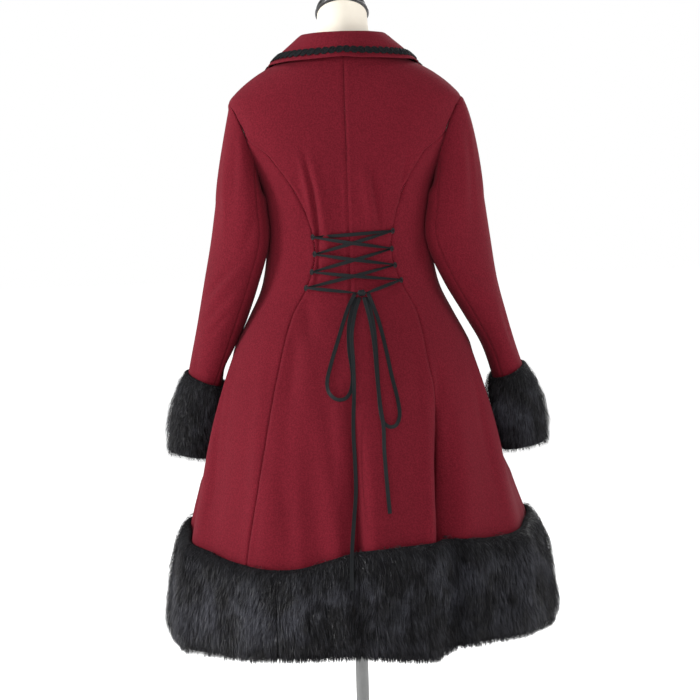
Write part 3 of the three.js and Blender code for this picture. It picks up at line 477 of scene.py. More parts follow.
def finish_start(name, **sockets):
    """A material with one Principled shader, whose even values are set on its own sockets."""
    material = bpy.data.materials.new(name)
    material.use_nodes = True
    tree = material.node_tree
    tree.nodes.clear()
    output = add_node(tree, "ShaderNodeOutputMaterial")
    shader = add_node(tree, "ShaderNodeBsdfPrincipled")
    feed(tree, shader.outputs[0], output.inputs["Surface"])
    for socket, value in sockets.items():
        shader.inputs[socket.replace("_", " ")].default_value = value
    place = add_node(tree, "ShaderNodeTexCoord").outputs["Object"]
    return material, tree, shader, place


def put_group(tree, group, place, **values):
    node = add_node(tree, "ShaderNodeGroup", node_tree=group)
    feed(tree, place, node.inputs["Place"])
    for name, value in values.items():
        node.inputs[name.replace("_", " ")].default_value = value
    return node


def blend_colours(tree, mask, dark, light):
    node = add_node(tree, "ShaderNodeMix", data_type="RGBA")
    feed(tree, mask, node.inputs["Factor"])
    for socket, value in (("A", dark), ("B", light)):
        target = next(i for i in node.inputs if i.name == socket and i.type == "RGBA")
        if isinstance(value, tuple):
            target.default_value = (*value, 1)
        else:
            feed(tree, value, target)
    return next(o for o in node.outputs if o.type == "RGBA")


def shaded_range(tree, mask, low, high):
    node = add_node(tree, "ShaderNodeMapRange")
    feed(tree, mask, node.inputs["Value"])
    node.inputs["To Min"].default_value = low
    node.inputs["To Max"].default_value = high
    return node.outputs[0]


def raise_bump(tree, shader, height, distance, strength=1.0):
    node = add_node(tree, "ShaderNodeBump")
    node.inputs["Distance"].default_value = distance
    node.inputs["Strength"].default_value = strength
    feed(tree, height, node.inputs["Height"])
    feed(tree, node.outputs[0], shader.inputs["Normal"])


def mottle(tree, place, per_metre, contrast):
    """The mask of slow changes."""
    node = put_group(tree, soft_mottle, place, Patch_per_metre=per_metre, Contrast=contrast)
    return node.outputs["Mask"]


def fibres(tree, place, per_metre, stretch=(1.0, 1.0, 1.0)):
    """The mask and the height of fine threads."""
    node = put_group(tree, fine_fibres, place, Fibres_per_metre=per_metre, Stretch=stretch)
    return node.outputs["Mask"], node.outputs["Height"]


def colour_and_gloss(tree, shader, colour, mask, low, high):
    """The base colour, and a roughness that goes from low to high with a mask."""
    feed(tree, colour, shader.inputs["Base Color"])
    feed(tree, shaded_range(tree, mask, low, high), shader.inputs["Roughness"])


print("groups:", [g.name for g in bpy.data.node_groups])

# %% [markdown]
# The wool is felted: woven, then brushed until the weave disappears under a short nap. Close up, its
# colour breaks into darker and lighter fibres, and it catches light softly at grazing angles, which is
# what the shader's sheen is for. The ribbon is satin, so its threads give a long, narrow gloss.

# %% Finishes of cloth and ribbon
wool, tree, shader, place = finish_start(
    "wool_felt", Sheen_Weight=0.05, Sheen_Roughness=0.5, Sheen_Tint=(1.0, 0.35, 0.42, 1),
    Specular_IOR_Level=0.08)
nap, nap_height = fibres(tree, place, 680.0)
patches = mottle(tree, place, 14.0, 1.7)
base = blend_colours(tree, patches, (0.108, 0.0050, 0.0116), (0.142, 0.0070, 0.0158))
fibred = blend_colours(tree, shaded_range(tree, nap, 0.0, 0.8), base, (0.190, 0.0139, 0.0250))
specks = shaded_range(tree, mottle(tree, place, 430.0, 5.0), 0.0, 0.5)
speckled = blend_colours(tree, specks, fibred, (0.072, 0.0033, 0.0079))
colour_and_gloss(tree, shader, speckled, nap, 0.8, 0.96)
raise_bump(tree, shader, nap_height, 0.0006, 0.9)

ribbon_satin, tree, shader, place = finish_start(
    "ribbon_satin", Specular_IOR_Level=0.16, Anisotropic=0.2, Sheen_Weight=0.02, Sheen_Roughness=0.3)
lay = add_node(tree, "ShaderNodeUVMap", uv_map="lay").outputs[0]
threads, thread_height = fibres(tree, lay, 2600.0, (1.0, 0.12, 1.0))
tone = mottle(tree, place, 60.0, 2.0)
base = blend_colours(tree, tone, (0.0035, 0.0040, 0.0047), (0.0075, 0.0085, 0.0098))
satin = blend_colours(tree, shaded_range(tree, threads, 0.0, 0.7), base, (0.013, 0.015, 0.0175))
colour_and_gloss(tree, shader, satin, threads, 0.46, 0.66)
raise_bump(tree, shader, thread_height, 0.00012, 0.6)

braid_thread, tree, shader, place = finish_start("braid_thread", Specular_IOR_Level=0.12)
plies, ply_height = fibres(tree, place, 1500.0)
strands = blend_colours(tree, plies, (0.0022, 0.0024, 0.0028), (0.0145, 0.0155, 0.0185))
colour_and_gloss(tree, shader, strands, plies, 0.62, 0.9)
raise_bump(tree, shader, ply_height, 0.0009, 1.0)

form_cover, tree, shader, place = finish_start("form_jersey", Specular_IOR_Level=0.2, Sheen_Weight=0.1)
knit, knit_height = fibres(tree, place, 1400.0, (1.0, 1.0, 0.35))
shade = mottle(tree, place, 25.0, 1.2)
cream = blend_colours(tree, shade, (0.86, 0.795, 0.675), (0.92, 0.87, 0.765))
jersey = blend_colours(tree, shaded_range(tree, knit, 0, 0.3), cream, (0.82, 0.75, 0.62))
colour_and_gloss(tree, shader, jersey, knit, 0.7, 0.95)
raise_bump(tree, shader, knit_height, 0.0003, 0.5)
print("cloth finishes:", wool.name, ribbon_satin.name, braid_thread.name, form_cover.name)

# %% [markdown]
# Long pile is many separate hairs. Geometry's Random Per Island gives each hair a number of its own, so
# a few can be painted blue-grey glints, lighter hairs that stand for highlights, and a few warm brown
# among the black ones. The hairs' UVs hold two more values. The one along each hair paints shade at its
# root, so the root is darker than the tip. The one across the band keeps the painted sheen, lighter
# patches that stand for soft highlights, to the band's middle.

# %% Finishes of fur, gloss and metal
fur_hair, tree, shader, place = finish_start("fur_hair", Specular_IOR_Level=0.2)
island = add_node(tree, "ShaderNodeNewGeometry").outputs["Random Per Island"]
along = add_node(tree, "ShaderNodeUVMap", uv_map="lay").outputs[0]
split = add_node(tree, "ShaderNodeSeparateXYZ")
feed(tree, along, split.inputs[0])
# Painted glints: the lighter blue-grey stops near 0.8 and 0.94 colour a few hairs as highlights; the other
# stops are the hairs' own black and warm brown.
ramp = add_node(tree, "ShaderNodeValToRGB")
stops = ramp.color_ramp.elements
stops[0].position, stops[0].color = 0.0, (0.0040, 0.0037, 0.0040, 1)
stops[1].position, stops[1].color = 1.0, (0.034, 0.026, 0.023, 1)
for position, colour in ((0.55, (0.0085, 0.0079, 0.0088, 1)), (0.8, (0.019, 0.0185, 0.023, 1)),
                         (0.94, (0.095, 0.096, 0.112, 1))):
    stop = stops.new(position)
    stop.color = colour
feed(tree, island, ramp.inputs[0])
up_band, up_hair = split.outputs["X"], split.outputs["Y"]
# Painted shade: each hair is darker towards its root, where the pile around it would shade it.
from_root = shaded_range(tree, up_hair, 0.15, 1.0)
root_shaded = blend_colours(tree, from_root, (0.004, 0.0038, 0.0042), ramp.outputs[0])
# Painted sheen: soft patches of lighter blue-grey towards the hair tips, kept to the band's middle.
band_middle = math_node(tree, "MULTIPLY", up_band, math_node(tree, "SUBTRACT", 1.0, up_band))
sheen_patches = shaded_range(tree, mottle(tree, place, 17.0, 3.2), -2.4, 3.9)
patch = math_node(tree, "MULTIPLY", sheen_patches, band_middle)
painted_sheen_tip = math_node(tree, "MULTIPLY", patch, up_hair)
haired = blend_colours(tree, painted_sheen_tip, root_shaded, (0.100, 0.102, 0.126))
colour_and_gloss(tree, shader, haired, island, 0.3, 0.5)

fur_skin, tree, shader, place = finish_start("fur_skin", Specular_IOR_Level=0.1)
under, under_height = fibres(tree, place, 500.0, (1.0, 1.0, 0.2))
underfur = blend_colours(tree, under, (0.004, 0.004, 0.0045), (0.014, 0.0135, 0.016))
colour_and_gloss(tree, shader, underfur, under, 0.8, 1.0)
raise_bump(tree, shader, under_height, 0.002, 1.0)

button_gloss, tree, shader, place = finish_start("button_gloss", Specular_IOR_Level=0.5, Coat_Weight=0.3)
grain = mottle(tree, place, 260.0, 2.0)
horn = blend_colours(tree, grain, (0.010, 0.008, 0.010), (0.026, 0.020, 0.022))
colour_and_gloss(tree, shader, horn, grain, 0.22, 0.36)

pewter, tree, shader, place = finish_start("pewter", Metallic=0.85, Specular_IOR_Level=0.5)
cast = mottle(tree, place, 90.0, 2.2)
grey = blend_colours(tree, cast, (0.050, 0.050, 0.052), (0.095, 0.094, 0.096))
colour_and_gloss(tree, shader, grey, cast, 0.22, 0.38)
raise_bump(tree, shader, fibres(tree, place, 600.0)[1], 0.0001, 0.4)

brushed_steel, tree, shader, place = finish_start("brushed_steel", Metallic=1.0, Anisotropic=0.3)
brushing, brushing_height = fibres(tree, place, 900.0, (1.0, 1.0, 0.05))
dulling = mottle(tree, place, 30.0, 1.5)
tone = blend_colours(tree, dulling, (0.15, 0.152, 0.150), (0.23, 0.232, 0.228))
steel = blend_colours(tree, shaded_range(tree, brushing, 0, 0.4), tone, (0.11, 0.115, 0.12))
colour_and_gloss(tree, shader, steel, brushing, 0.26, 0.46)
raise_bump(tree, shader, brushing_height, 0.00008, 0.5)
print("hard finishes:", fur_hair.name, button_gloss.name, pewter.name, brushed_steel.name)

# %% [markdown]
# The bow and its two ends are the coat's free cords: flat satin ribbon, six millimetres wide, limp. The
# routes repeat those of the solids, and run in metres from the knot: a loop goes down, round and back
# into the knot, and an end hangs down the skirt and over the fur. A smooth curve through each route
# keeps its bends as soft as ribbon's are.

# %% Ribbon routes, in metres: across, height and distance off the cloth
RIBBON_WIDE, RIBBON_THICK = 6.0, 0.5
BOW_LEFT = [
    (-0.0069, 0.985, 0.0082), (0.005, 0.962, 0.0055), (0.020, 0.919, 0.003), (0.034, 0.877, 0.003),
    (0.040, 0.852, 0.0035), (0.037, 0.836, 0.004), (0.026, 0.827, 0.005), (0.013, 0.828, 0.006),
    (0.004, 0.840, 0.0065), (0.001, 0.864, 0.0065), (0.005, 0.901, 0.006), (0.004, 0.938, 0.005),
    (-0.002, 0.962, 0.004), (-0.009, 0.9785, 0.0034),
]
BOW_RIGHT = [
    (-0.0273, 0.985, 0.0082), (-0.041, 0.946, 0.005), (-0.050, 0.908, 0.003), (-0.059, 0.860, 0.003),
    (-0.067, 0.823, 0.003), (-0.069, 0.800, 0.0035), (-0.063, 0.786, 0.0045), (-0.053, 0.784, 0.0055),
    (-0.044, 0.792, 0.006), (-0.040, 0.810, 0.0065), (-0.038, 0.850, 0.0065), (-0.036, 0.913, 0.0055),
    (-0.033, 0.944, 0.0045), (-0.0256, 0.9785, 0.0034),
]
TAIL_LEFT = [
    (-0.014, 0.9788, 0.0063), (-0.006, 0.956, 0.0105), (0.000, 0.922, 0.0105), (-0.001, 0.884, 0.0105),
    (-0.001, 0.844, 0.010), (0.002, 0.783, 0.005), (0.001, 0.732, 0.004), (0.001, 0.692, 0.006),
    (0.005, 0.652, 0.012), (0.009, 0.615, 0.026), (0.011, 0.580, 0.033), (0.011, 0.551, 0.033),
]
TAIL_RIGHT = [
    (-0.0205, 0.9788, 0.0063), (-0.029, 0.943, 0.0105), (-0.034, 0.906, 0.0105), (-0.037, 0.854, 0.0105),
    (-0.040, 0.817, 0.0105), (-0.044, 0.785, 0.009), (-0.044, 0.751, 0.005), (-0.046, 0.706, 0.004),
    (-0.049, 0.658, 0.005),
]
KNOT = {"x": -17, "z": 983, "wide": 15, "tall": 15, "deep": 10, "off": 6.7}


def smooth_line(points, spacing):
    """Points every so many millimetres on a smooth curve through the given ones."""
    points = np.asarray(points, float)
    lengths = run_lengths(points)
    table = np.column_stack([lengths, points])
    count = max(3, int(round(lengths[-1] / spacing)) + 1)
    places = np.linspace(0, lengths[-1], count)
    return np.stack([read(table, places, k + 1) for k in range(points.shape[1])], 1)


def route_points(route):
    """The solids' own points of a route, in millimetres."""
    route = np.array(route) / MM
    y = cloth(angle_across(route[:, 0], route[:, 1]), route[:, 1])[:, 1] + route[:, 2]
    return np.column_stack([route[:, 0], y, route[:, 1]])


def ribbon_strip(line, facings, wide=RIBBON_WIDE, thick=RIBBON_THICK, cup=0.35):
    """Points, faces and UVs of a flat ribbon along a line; its edges curl towards its face a little."""
    line, facings = np.asarray(line), np.asarray(facings)
    along = unit(np.gradient(line, axis=0))
    across = unit(np.cross(along, facings))
    up = unit(np.cross(across, along))
    shares = np.array([-0.5, -0.46, -0.3, 0.0, 0.3, 0.46, 0.5])
    curl = cup * (2 * shares) ** 2
    wide = np.broadcast_to(wide, len(line))[:, None]
    face = np.stack([line + across * s * wide + up * (thick * (0.5 if abs(s) == 0.5 else 1) + c)
                     for s, c in zip(shares, curl)], 1)
    back = np.stack([line + across * s * wide + up * (thick * (0.35 if abs(s) == 0.5 else 0) + c)
                     for s, c in zip(shares, curl)], 1)
    return shell_points(face, back)


def ribbon_piece(name, strips):
    points, faces, uv = joined(strips)
    return mesh_piece(name, points, [faces], ribbon_satin, uv)


def path_length(line):
    return float(run_lengths(line)[-1] * MM)


def turned(facings, line, twists):
    """Facings turned about the line: a list of (where along from 0 to 1, degrees)."""
    along = unit(np.gradient(line, axis=0))
    share = np.linspace(0, 1, len(line))
    degrees = np.interp(share, [t[0] for t in twists], [t[1] for t in twists])
    c, s = np.cos(np.radians(degrees))[:, None], np.sin(np.radians(degrees))[:, None]
    return facings * c + np.cross(along, facings) * s


cords = {}
for name, route, twists in (
        ("bow_loop_left", BOW_LEFT, [(0, 0), (0.5, 18), (1, 0)]),
        ("bow_loop_right", BOW_RIGHT, [(0, 0), (0.5, -16), (1, 0)]),
        ("ribbon_tail_left", TAIL_LEFT, [(0, 0), (0.3, 8), (0.38, -8), (0.55, 0), (1, -10)]),
        ("ribbon_tail_right", TAIL_RIGHT, [(0, 0), (0.4, -10), (0.7, 12), (1, 0)])):
    line = smooth_line(route_points(route), 2.5)
    facings = turned(np.tile([0.0, 1.0, 0.0], (len(line), 1)), line, twists)
    middle = line + facings * RIBBON_THICK / 2
    cords[name] = (ribbon_piece(name, [ribbon_strip(line, facings)]), middle)
    print(name, round(path_length(middle), 3), "m long")

# %% [markdown]
# The knot is one short turn of ribbon round the middle of the bow. It is made as a rounded lump with a
# few wraps pressed into it, so that it reads as folded ribbon from near by.

# %% The knot, and the cords set on the body
def wrapped_lump(name, middle, size, material, wraps=3):
    rows, columns = 25, 40
    polar = np.linspace(0.06, np.pi - 0.06, rows)[:, None]
    turn = np.linspace(0, 2 * np.pi, columns, endpoint=False)[None, :]
    bulge = 1 + 0.07 * np.cos(2 * wraps * polar + 0.6 * np.sin(turn)) + 0.04 * np.sin(3 * turn)
    x = np.cos(polar) * (1 + 0 * turn) * bulge
    y = np.sin(polar) * np.cos(turn) * bulge
    z = np.sin(polar) * np.sin(turn) * bulge
    rings = np.stack([x, y, z], -1) * np.array(size) / 2 + middle
    points, quads, caps = capped_rings(rings, rings[0].mean(0), rings[-1].mean(0))
    return mesh_piece(name, points, [quads, caps], material, points[:, :2] * MM)


knot_angle = angle_across(KNOT["x"], KNOT["z"])
knot_middle = cloth(knot_angle, KNOT["z"]) + cloth_normal(knot_angle, KNOT["z"]) * KNOT["off"]
knot_size = (KNOT["wide"] - 1, KNOT["deep"] - 1, 10)
bow_knot = wrapped_lump("bow_knot_turn", knot_middle, knot_size, ribbon_satin)
settle(bow_knot, "ribbon", "bow_knot")

for name, (piece, middle) in cords.items():
    piece.name = name + "_satin"
    settle(piece, "ribbon", name)
print("cords declared:", len(cords))

# %% [markdown]
# The lacing runs between four small ribbon loops on each princess seam, in crosses as on a corset: a bar
# across the top, then each crossing one space lower, and the last two runs go to the knot. Each run is
# its own strip, and the runs lie over each other in steps, as real ribbon would.

# %% The lacing
LOOP_HEIGHTS = {"left": [1074, 1047, 1019, 994], "right": [1080, 1052, 1026, 1002]}


def eyelet(side, k):
    z = LOOP_HEIGHTS[side][k]
    x = float(read(PRINCESS, z, 1 if side == "left" else 2))
    return np.array([x if side == "left" else -x, z])


def lacing_run(start, end, off, sag=0.0, lean=34.0, count=26):
    """A strip on the cloth between two places, given as across and height."""
    t = np.linspace(0, 1, count)[:, None]
    flat = mix(np.array(start, float), np.array(end, float), t)
    flat[:, 1] -= sag * np.sin(np.pi * t[:, 0])
    angle = angle_across(flat[:, 0], flat[:, 1])
    normal = cloth_normal(angle, flat[:, 1])
    line = cloth(angle, flat[:, 1]) + normal * off
    along = unit(np.gradient(line, axis=0))
    roll = np.radians(lean * np.cos(np.pi * t) * (1 - 0.35 * np.sin(np.pi * t)))
    tilted = normal * np.cos(roll) + np.cross(along, normal) * np.sin(roll)
    width = 5.6 - 2.4 * np.cos(np.pi * t[:, 0]) ** 6
    return ribbon_strip(line, tilted, wide=width, thick=0.5, cup=0.3)


lacing = {"lacing_top_bar": lacing_run(eyelet("left", 0), eyelet("right", 0), 2.3, 0.8)}
for k in range(3):
    lacing[f"lacing_under_{k + 1}"] = lacing_run(eyelet("right", k), eyelet("left", k + 1), 3.2, 0.5)
    lacing[f"lacing_over_{k + 1}"] = lacing_run(eyelet("left", k), eyelet("right", k + 1), 4.2, 0.4)
for side, sign in (("left", 1), ("right", -1)):
    to_knot = (KNOT["x"] + sign * KNOT["wide"] / 2, KNOT["z"])
    lacing[f"lacing_end_{side}"] = lacing_run(eyelet(side, 3), to_knot, 5.7)
laced = ribbon_piece("lacing_satin", list(lacing.values()))
settle(laced, "ribbon", *lacing)


def eye_loop(side, k):
    """A narrow loop of ribbon that stands out of the seam, with the lacing through it."""
    x, z = eyelet(side, k)
    inward = -1 if side == "left" else 1
    turn = np.linspace(0, 2 * np.pi, 28)
    flat_x = x - inward * (2.2 - 5.2 * (0.5 - 0.5 * np.cos(turn)))
    flat_z = z + 3.4 * np.sin(turn)
    angle = angle_across(flat_x, flat_z)
    normal = cloth_normal(angle, flat_z)
    lift = 1.0 + 3.6 * (0.5 - 0.5 * np.cos(turn))
    line = cloth(angle, flat_z) + normal * lift[:, None]
    return ribbon_strip(line, normal, wide=2.2, thick=0.5, cup=0.1)


eye_places = [(side, k) for side in ("left", "right") for k in range(4)]
eyes = ribbon_piece("lacing_loops_satin", [eye_loop(side, k) for side, k in eye_places])
settle(eyes, "ribbon", *[f"lacing_loop_{side}_{k + 1}" for side, k in eye_places])
print("lacing runs:", len(lacing), "eyes: 8")

# %% [markdown]
# The coat's body is eight panels: two backs, two side backs, two side fronts and two fronts. Each is cut
# flat and its curve comes from the seams, so each is modelled as its own thin shell, two millimetres
# thick, and turns in at its edges where it is sewn to the next. On top of the large folds come creases
# that are listed one by one, each a line on the cloth with its own depth, width and length.

# %% Creases of the body: depth, half width, and points as (across, height) on the back
def on_back(*points):
    x, z = np.array(points, float).T
    return np.column_stack([angle_across(x, z), z])


def at_angles(*points):
    return np.array(points, float)


CREASES = [
    (-4.1, 2.8, on_back((66, 1210), (60, 1172), (53, 1132), (48.5, 1082), (49, 1034), (55, 990))),
    (5.2, 5.5, on_back((55, 1205), (48, 1165), (41, 1125), (36, 1080), (36, 1040))),
    (3.4, 4.5, on_back((73, 1205), (67, 1166), (60, 1126), (56, 1086))),
    (-2.0, 8.0, on_back((82, 1190), (76, 1150), (69, 1110), (66, 1070))),
    (-4.0, 3.2, on_back((-34, 1190), (-41, 1160), (-47, 1120), (-50, 1082))),
    (3.6, 5.5, on_back((-26, 1186), (-29, 1150), (-35, 1110), (-36, 1080))),
    (1.8, 8.0, on_back((-54, 1190), (-58, 1150), (-62, 1105))),
    (-15.0, 7.0, on_back((-132, 862), (-131, 800), (-134, 700), (-129, 600), (-131, 470), (-131, 260))),
    (3.4, 12.0, on_back((-104, 860), (-108, 780), (-110, 680), (-108, 600), (-108, 400))),
    (3.0, 13.0, on_back((-160, 800), (-162, 700), (-160, 600), (-160, 400))),
    (-8.5, 6.5, on_back((3, 850), (1, 780), (-1, 700), (-1, 600), (-1, 470), (-1, 260))),
    (3.0, 9.0, on_back((-20, 820), (-22, 740), (-24, 650), (-24, 560), (-24, 360))),
    (3.6, 13.0, on_back((136, 900), (142, 830), (152, 740), (164, 640), (176, 520))),
    (-3.6, 15.0, on_back((84, 930), (98, 860), (106, 780), (108, 700))),
    (-3.6, 10.0, on_back((72, 985), (67, 950), (62, 905))),
    (-3.2, 13.0, on_back((-122, 1080), (-113, 1052), (-98, 1026))),
    (-1.6, 6.0, on_back((16, 1190), (14, 1150), (12, 1105))),
    (-2.4, 4.5, on_back((-96, 1218), (-92, 1185), (-86, 1150), (-80, 1112))),
    (-1.4, 9.0, on_back((24, 1060), (10, 1030), (-4, 1000))),
    (-1.2, 8.0, on_back((-48, 1066), (-30, 1040), (-18, 1010))),
    (-1.1, 7.0, on_back((30, 1100), (8, 1092), (-16, 1098))),
    (-1.3, 9.0, on_back((85, 1045), (60, 1028), (36, 1016))),
    (-1.3, 9.0, on_back((-92, 1050), (-70, 1036), (-44, 1022))),
    (-1.0, 6.0, on_back((104, 1092), (86, 1078), (66, 1070))),
    (-1.0, 6.0, on_back((-106, 1094), (-90, 1082), (-72, 1074))),
    (1.3, 9.0, on_back((146, 1262), (150, 1225), (148, 1192))),
    (-1.6, 8.0, on_back((158, 1262), (161, 1228), (156, 1190))),
    (-1.8, 9.0, on_back((-158, 1258), (-160, 1222), (-152, 1186))),
    (-2.8, 11.0, on_back((46, 868), (40, 800), (30, 700), (14, 600))),
    (1.8, 12.0, on_back((24, 850), (18, 780), (4, 700))),
    (-2.6, 12.0, on_back((118, 742), (112, 690), (104, 640), (100, 600))),
    (2.0, 16.0, on_back((142, 760), (140, 690), (138, 610))),
    (-2.2, 10.0, on_back((-92, 900), (-100, 840), (-104, 780), (-104, 720))),
    (2.2, 14.0, on_back((-66, 880), (-66, 800), (-64, 700), (-62, 620))),
    (-2.6, 10.0, on_back((-132, 860), (-146, 780), (-152, 700), (-150, 620))),
    (1.8, 13.0, on_back((-160, 800), (-176, 720), (-186, 640))),
    (-1.8, 9.0, on_back((84, 930), (92, 880), (96, 820))),
    (1.6, 12.0, on_back((66, 930), (72, 870), (74, 800))),
    (-2.4, 8.0, at_angles((71, 860), (67, 780), (62, 690), (60, 600))),
    (-2.6, 8.0, at_angles((82, 700), (80, 640), (78, 560))),
    (1.8, 7.0, at_angles((87, 720), (85, 650), (83, 560))),
    (-2.2, 9.0, at_angles((-64, 860), (-60, 780), (-58, 700), (-57, 610))),
    (-2.4, 10.0, at_angles((-84, 740), (-82, 670), (-80, 590))),
    (-2.0, 12.0, at_angles((112, 880), (114, 780), (112, 680), (110, 600))),
    (2.0, 14.0, at_angles((120, 860), (121, 760), (119, 660))),
    (-2.2, 11.0, at_angles((-114, 880), (-116, 790), (-113, 690), (-111, 600))),
    (2.1, 13.0, at_angles((-122, 850), (-121, 760), (-119, 670))),
    (-2.0, 12.0, at_angles((141, 860), (140, 760), (139, 650))),
    (-1.8, 12.0, at_angles((-140, 870), (-141, 780), (-140, 670))),
    (-1.6, 10.0, at_angles((160, 820), (161, 730), (161, 640))),
    (-1.7, 11.0, at_angles((-163, 800), (-164, 700), (-163, 630))),
    (-1.5, 9.0, at_angles((128, 1178), (133, 1130), (138, 1085))),
    (-1.5, 9.0, at_angles((-127, 1182), (-132, 1136), (-139, 1092))),
    (-1.2, 8.0, at_angles((112, 1060), (130, 1046), (148, 1050))),
    (-1.3, 8.0, at_angles((-110, 1052), (-128, 1040), (-150, 1046))),
    (-1.1, 8.0, at_angles((100, 1030), (118, 1018), (140, 1024))),
]


def line_distance(u, v, line, unit_u):
    """Distance in millimetres to a line of points, and how far along it the nearest place is."""
    best = np.full(u.shape, 1e9)
    along = np.zeros(u.shape)
    steps = np.diff(line, axis=0)
    steady = float(np.median(unit_u))
    lengths = np.hypot(steps[:, 0] * steady, steps[:, 1])
    before = np.concatenate([[0], np.cumsum(lengths)])
    for k, (a, step) in enumerate(zip(line[:-1], steps)):
        du, dv = (u - a[0]) * unit_u, v - a[1]
        su, sv = step[0] * unit_u, step[1]
        t = np.clip((du * su + dv * sv) / (su * su + sv * sv), 0, 1)
        away = np.hypot(du - t * su, dv - t * sv)
        nearer = away < best
        best = np.where(nearer, away, best)
        along = np.where(nearer, (before[k] + t * lengths[k]) / before[-1], along)
    return best, along


def crease_offset(creases, u, v, unit_u):
    """How far the listed lines press the cloth in or raise it, fading out at both ends."""
    total = np.zeros(np.broadcast(u, v).shape)
    u, v = np.broadcast_arrays(u, v)
    for depth, wide, line in creases:
        away, along = line_distance(u, v, line, unit_u)
        fade = np.sin(np.pi * np.clip(along, 0.03, 0.97)) ** 0.7
        total += depth * fade * np.exp(-(away / wide) ** 2)
    return total


def draped(angle, z):
    """The cloth with its creases."""
    base = cloth(angle, z)
    per_degree = np.hypot(base[..., 0], base[..., 1]) * np.pi / 180
    press = crease_offset(CREASES, angle, z, per_degree)
    return base + plain_normal(angle, z) * press[..., None]


print("creases placed by hand on the body:", len(CREASES))

# %% [markdown]
# Each row of a panel's grid runs from one of its edges to the other. The rows stand closer together from
# the waist up, where the creases are finer. The columns stand close together beside a seam, where the
# cloth turns in and puckers a little along its stitches.

# %% The panels
def armhole_height(turn):
    rise = np.where(np.cos(turn) > 0, ARMHOLE_UP, ARMHOLE_DOWN)
    return ARMHOLE_HEIGHT + rise * np.cos(turn)


def neckline(angle):
    return read(NECKLINE, np.abs(angle))


def seam_angle(side, z, front):
    """Angle of the princess seam from the centre line, carried on round the armhole to the shoulder."""
    z = np.asarray(z, float)
    seam, column = (FRONT_PRINCESS, 1) if front else (PRINCESS, 1 if side == "left" else 2)
    last = seam[-1, 0]
    low = angle_across(read(seam, z, column), z)
    start = angle_across(seam[-1, column], last)
    rising = mix(start, 90 - ARMHOLE_SPREAD, (z - last) / (ARMHOLE_HEIGHT - last))
    rise = np.clip((z - ARMHOLE_HEIGHT) / ARMHOLE_UP, 0, 1)
    high = 90 - ARMHOLE_SPREAD * np.sqrt(1 - rise * rise)
    below_tip = np.where(z >= ARMHOLE_HEIGHT, high, np.where(z > last, rising, low))
    return np.where(z >= SHOULDER_TIP, 90.0, below_tip)


def edge_steps(count, near=(0.006, 0.012, 0.02, 0.032, 0.05)):
    """Shares from 0 to 1 that are close together at both edges, where a seam turns the cloth in."""
    near = np.array(near)
    inner = np.linspace(near[-1], 1 - near[-1], count)[1:-1]
    return np.concatenate([[0.0], near, inner, 1 - near[::-1], [1.0]])


def sewn_edges(grid, left, right, depth=1.05, wide=2.6):
    """How far each point turns in beside the sewn edges of a panel."""
    steps = np.linalg.norm(np.diff(grid, axis=1), axis=-1)
    from_left = np.concatenate([np.zeros((len(grid), 1)), np.cumsum(steps, 1)], 1)
    from_right = from_left[:, -1:] - from_left
    press = np.zeros(from_left.shape)
    for sewn, away in ((left, from_left), (right, from_right)):
        if sewn:
            press -= depth * np.exp(-(away / wide) ** 2)
            press += 0.45 * np.exp(-((away - 5.5) / 3.0) ** 2)
    return press


def panel_from(name, angle, z, lift, sewn):
    base = draped(angle, z)
    normal = plain_normal(angle, z)
    height = np.arange(len(base))[:, None]
    pucker = 0.22 * np.sin(height * 0.9 + 3 * np.sin(height * 0.13))
    press = sewn_edges(base, *sewn)
    outer = base + normal * (lift + press + pucker * (press < -0.1))[..., None]
    across = grid_normals(outer)
    facing = np.sign(np.sum(across * normal, -1))[..., None]
    inner = outer - across * facing * SHELL
    piece = shell_piece(name + "_wool", outer, inner, wool)
    settle(piece, "wool", name)
    return with_cut(piece, outer)


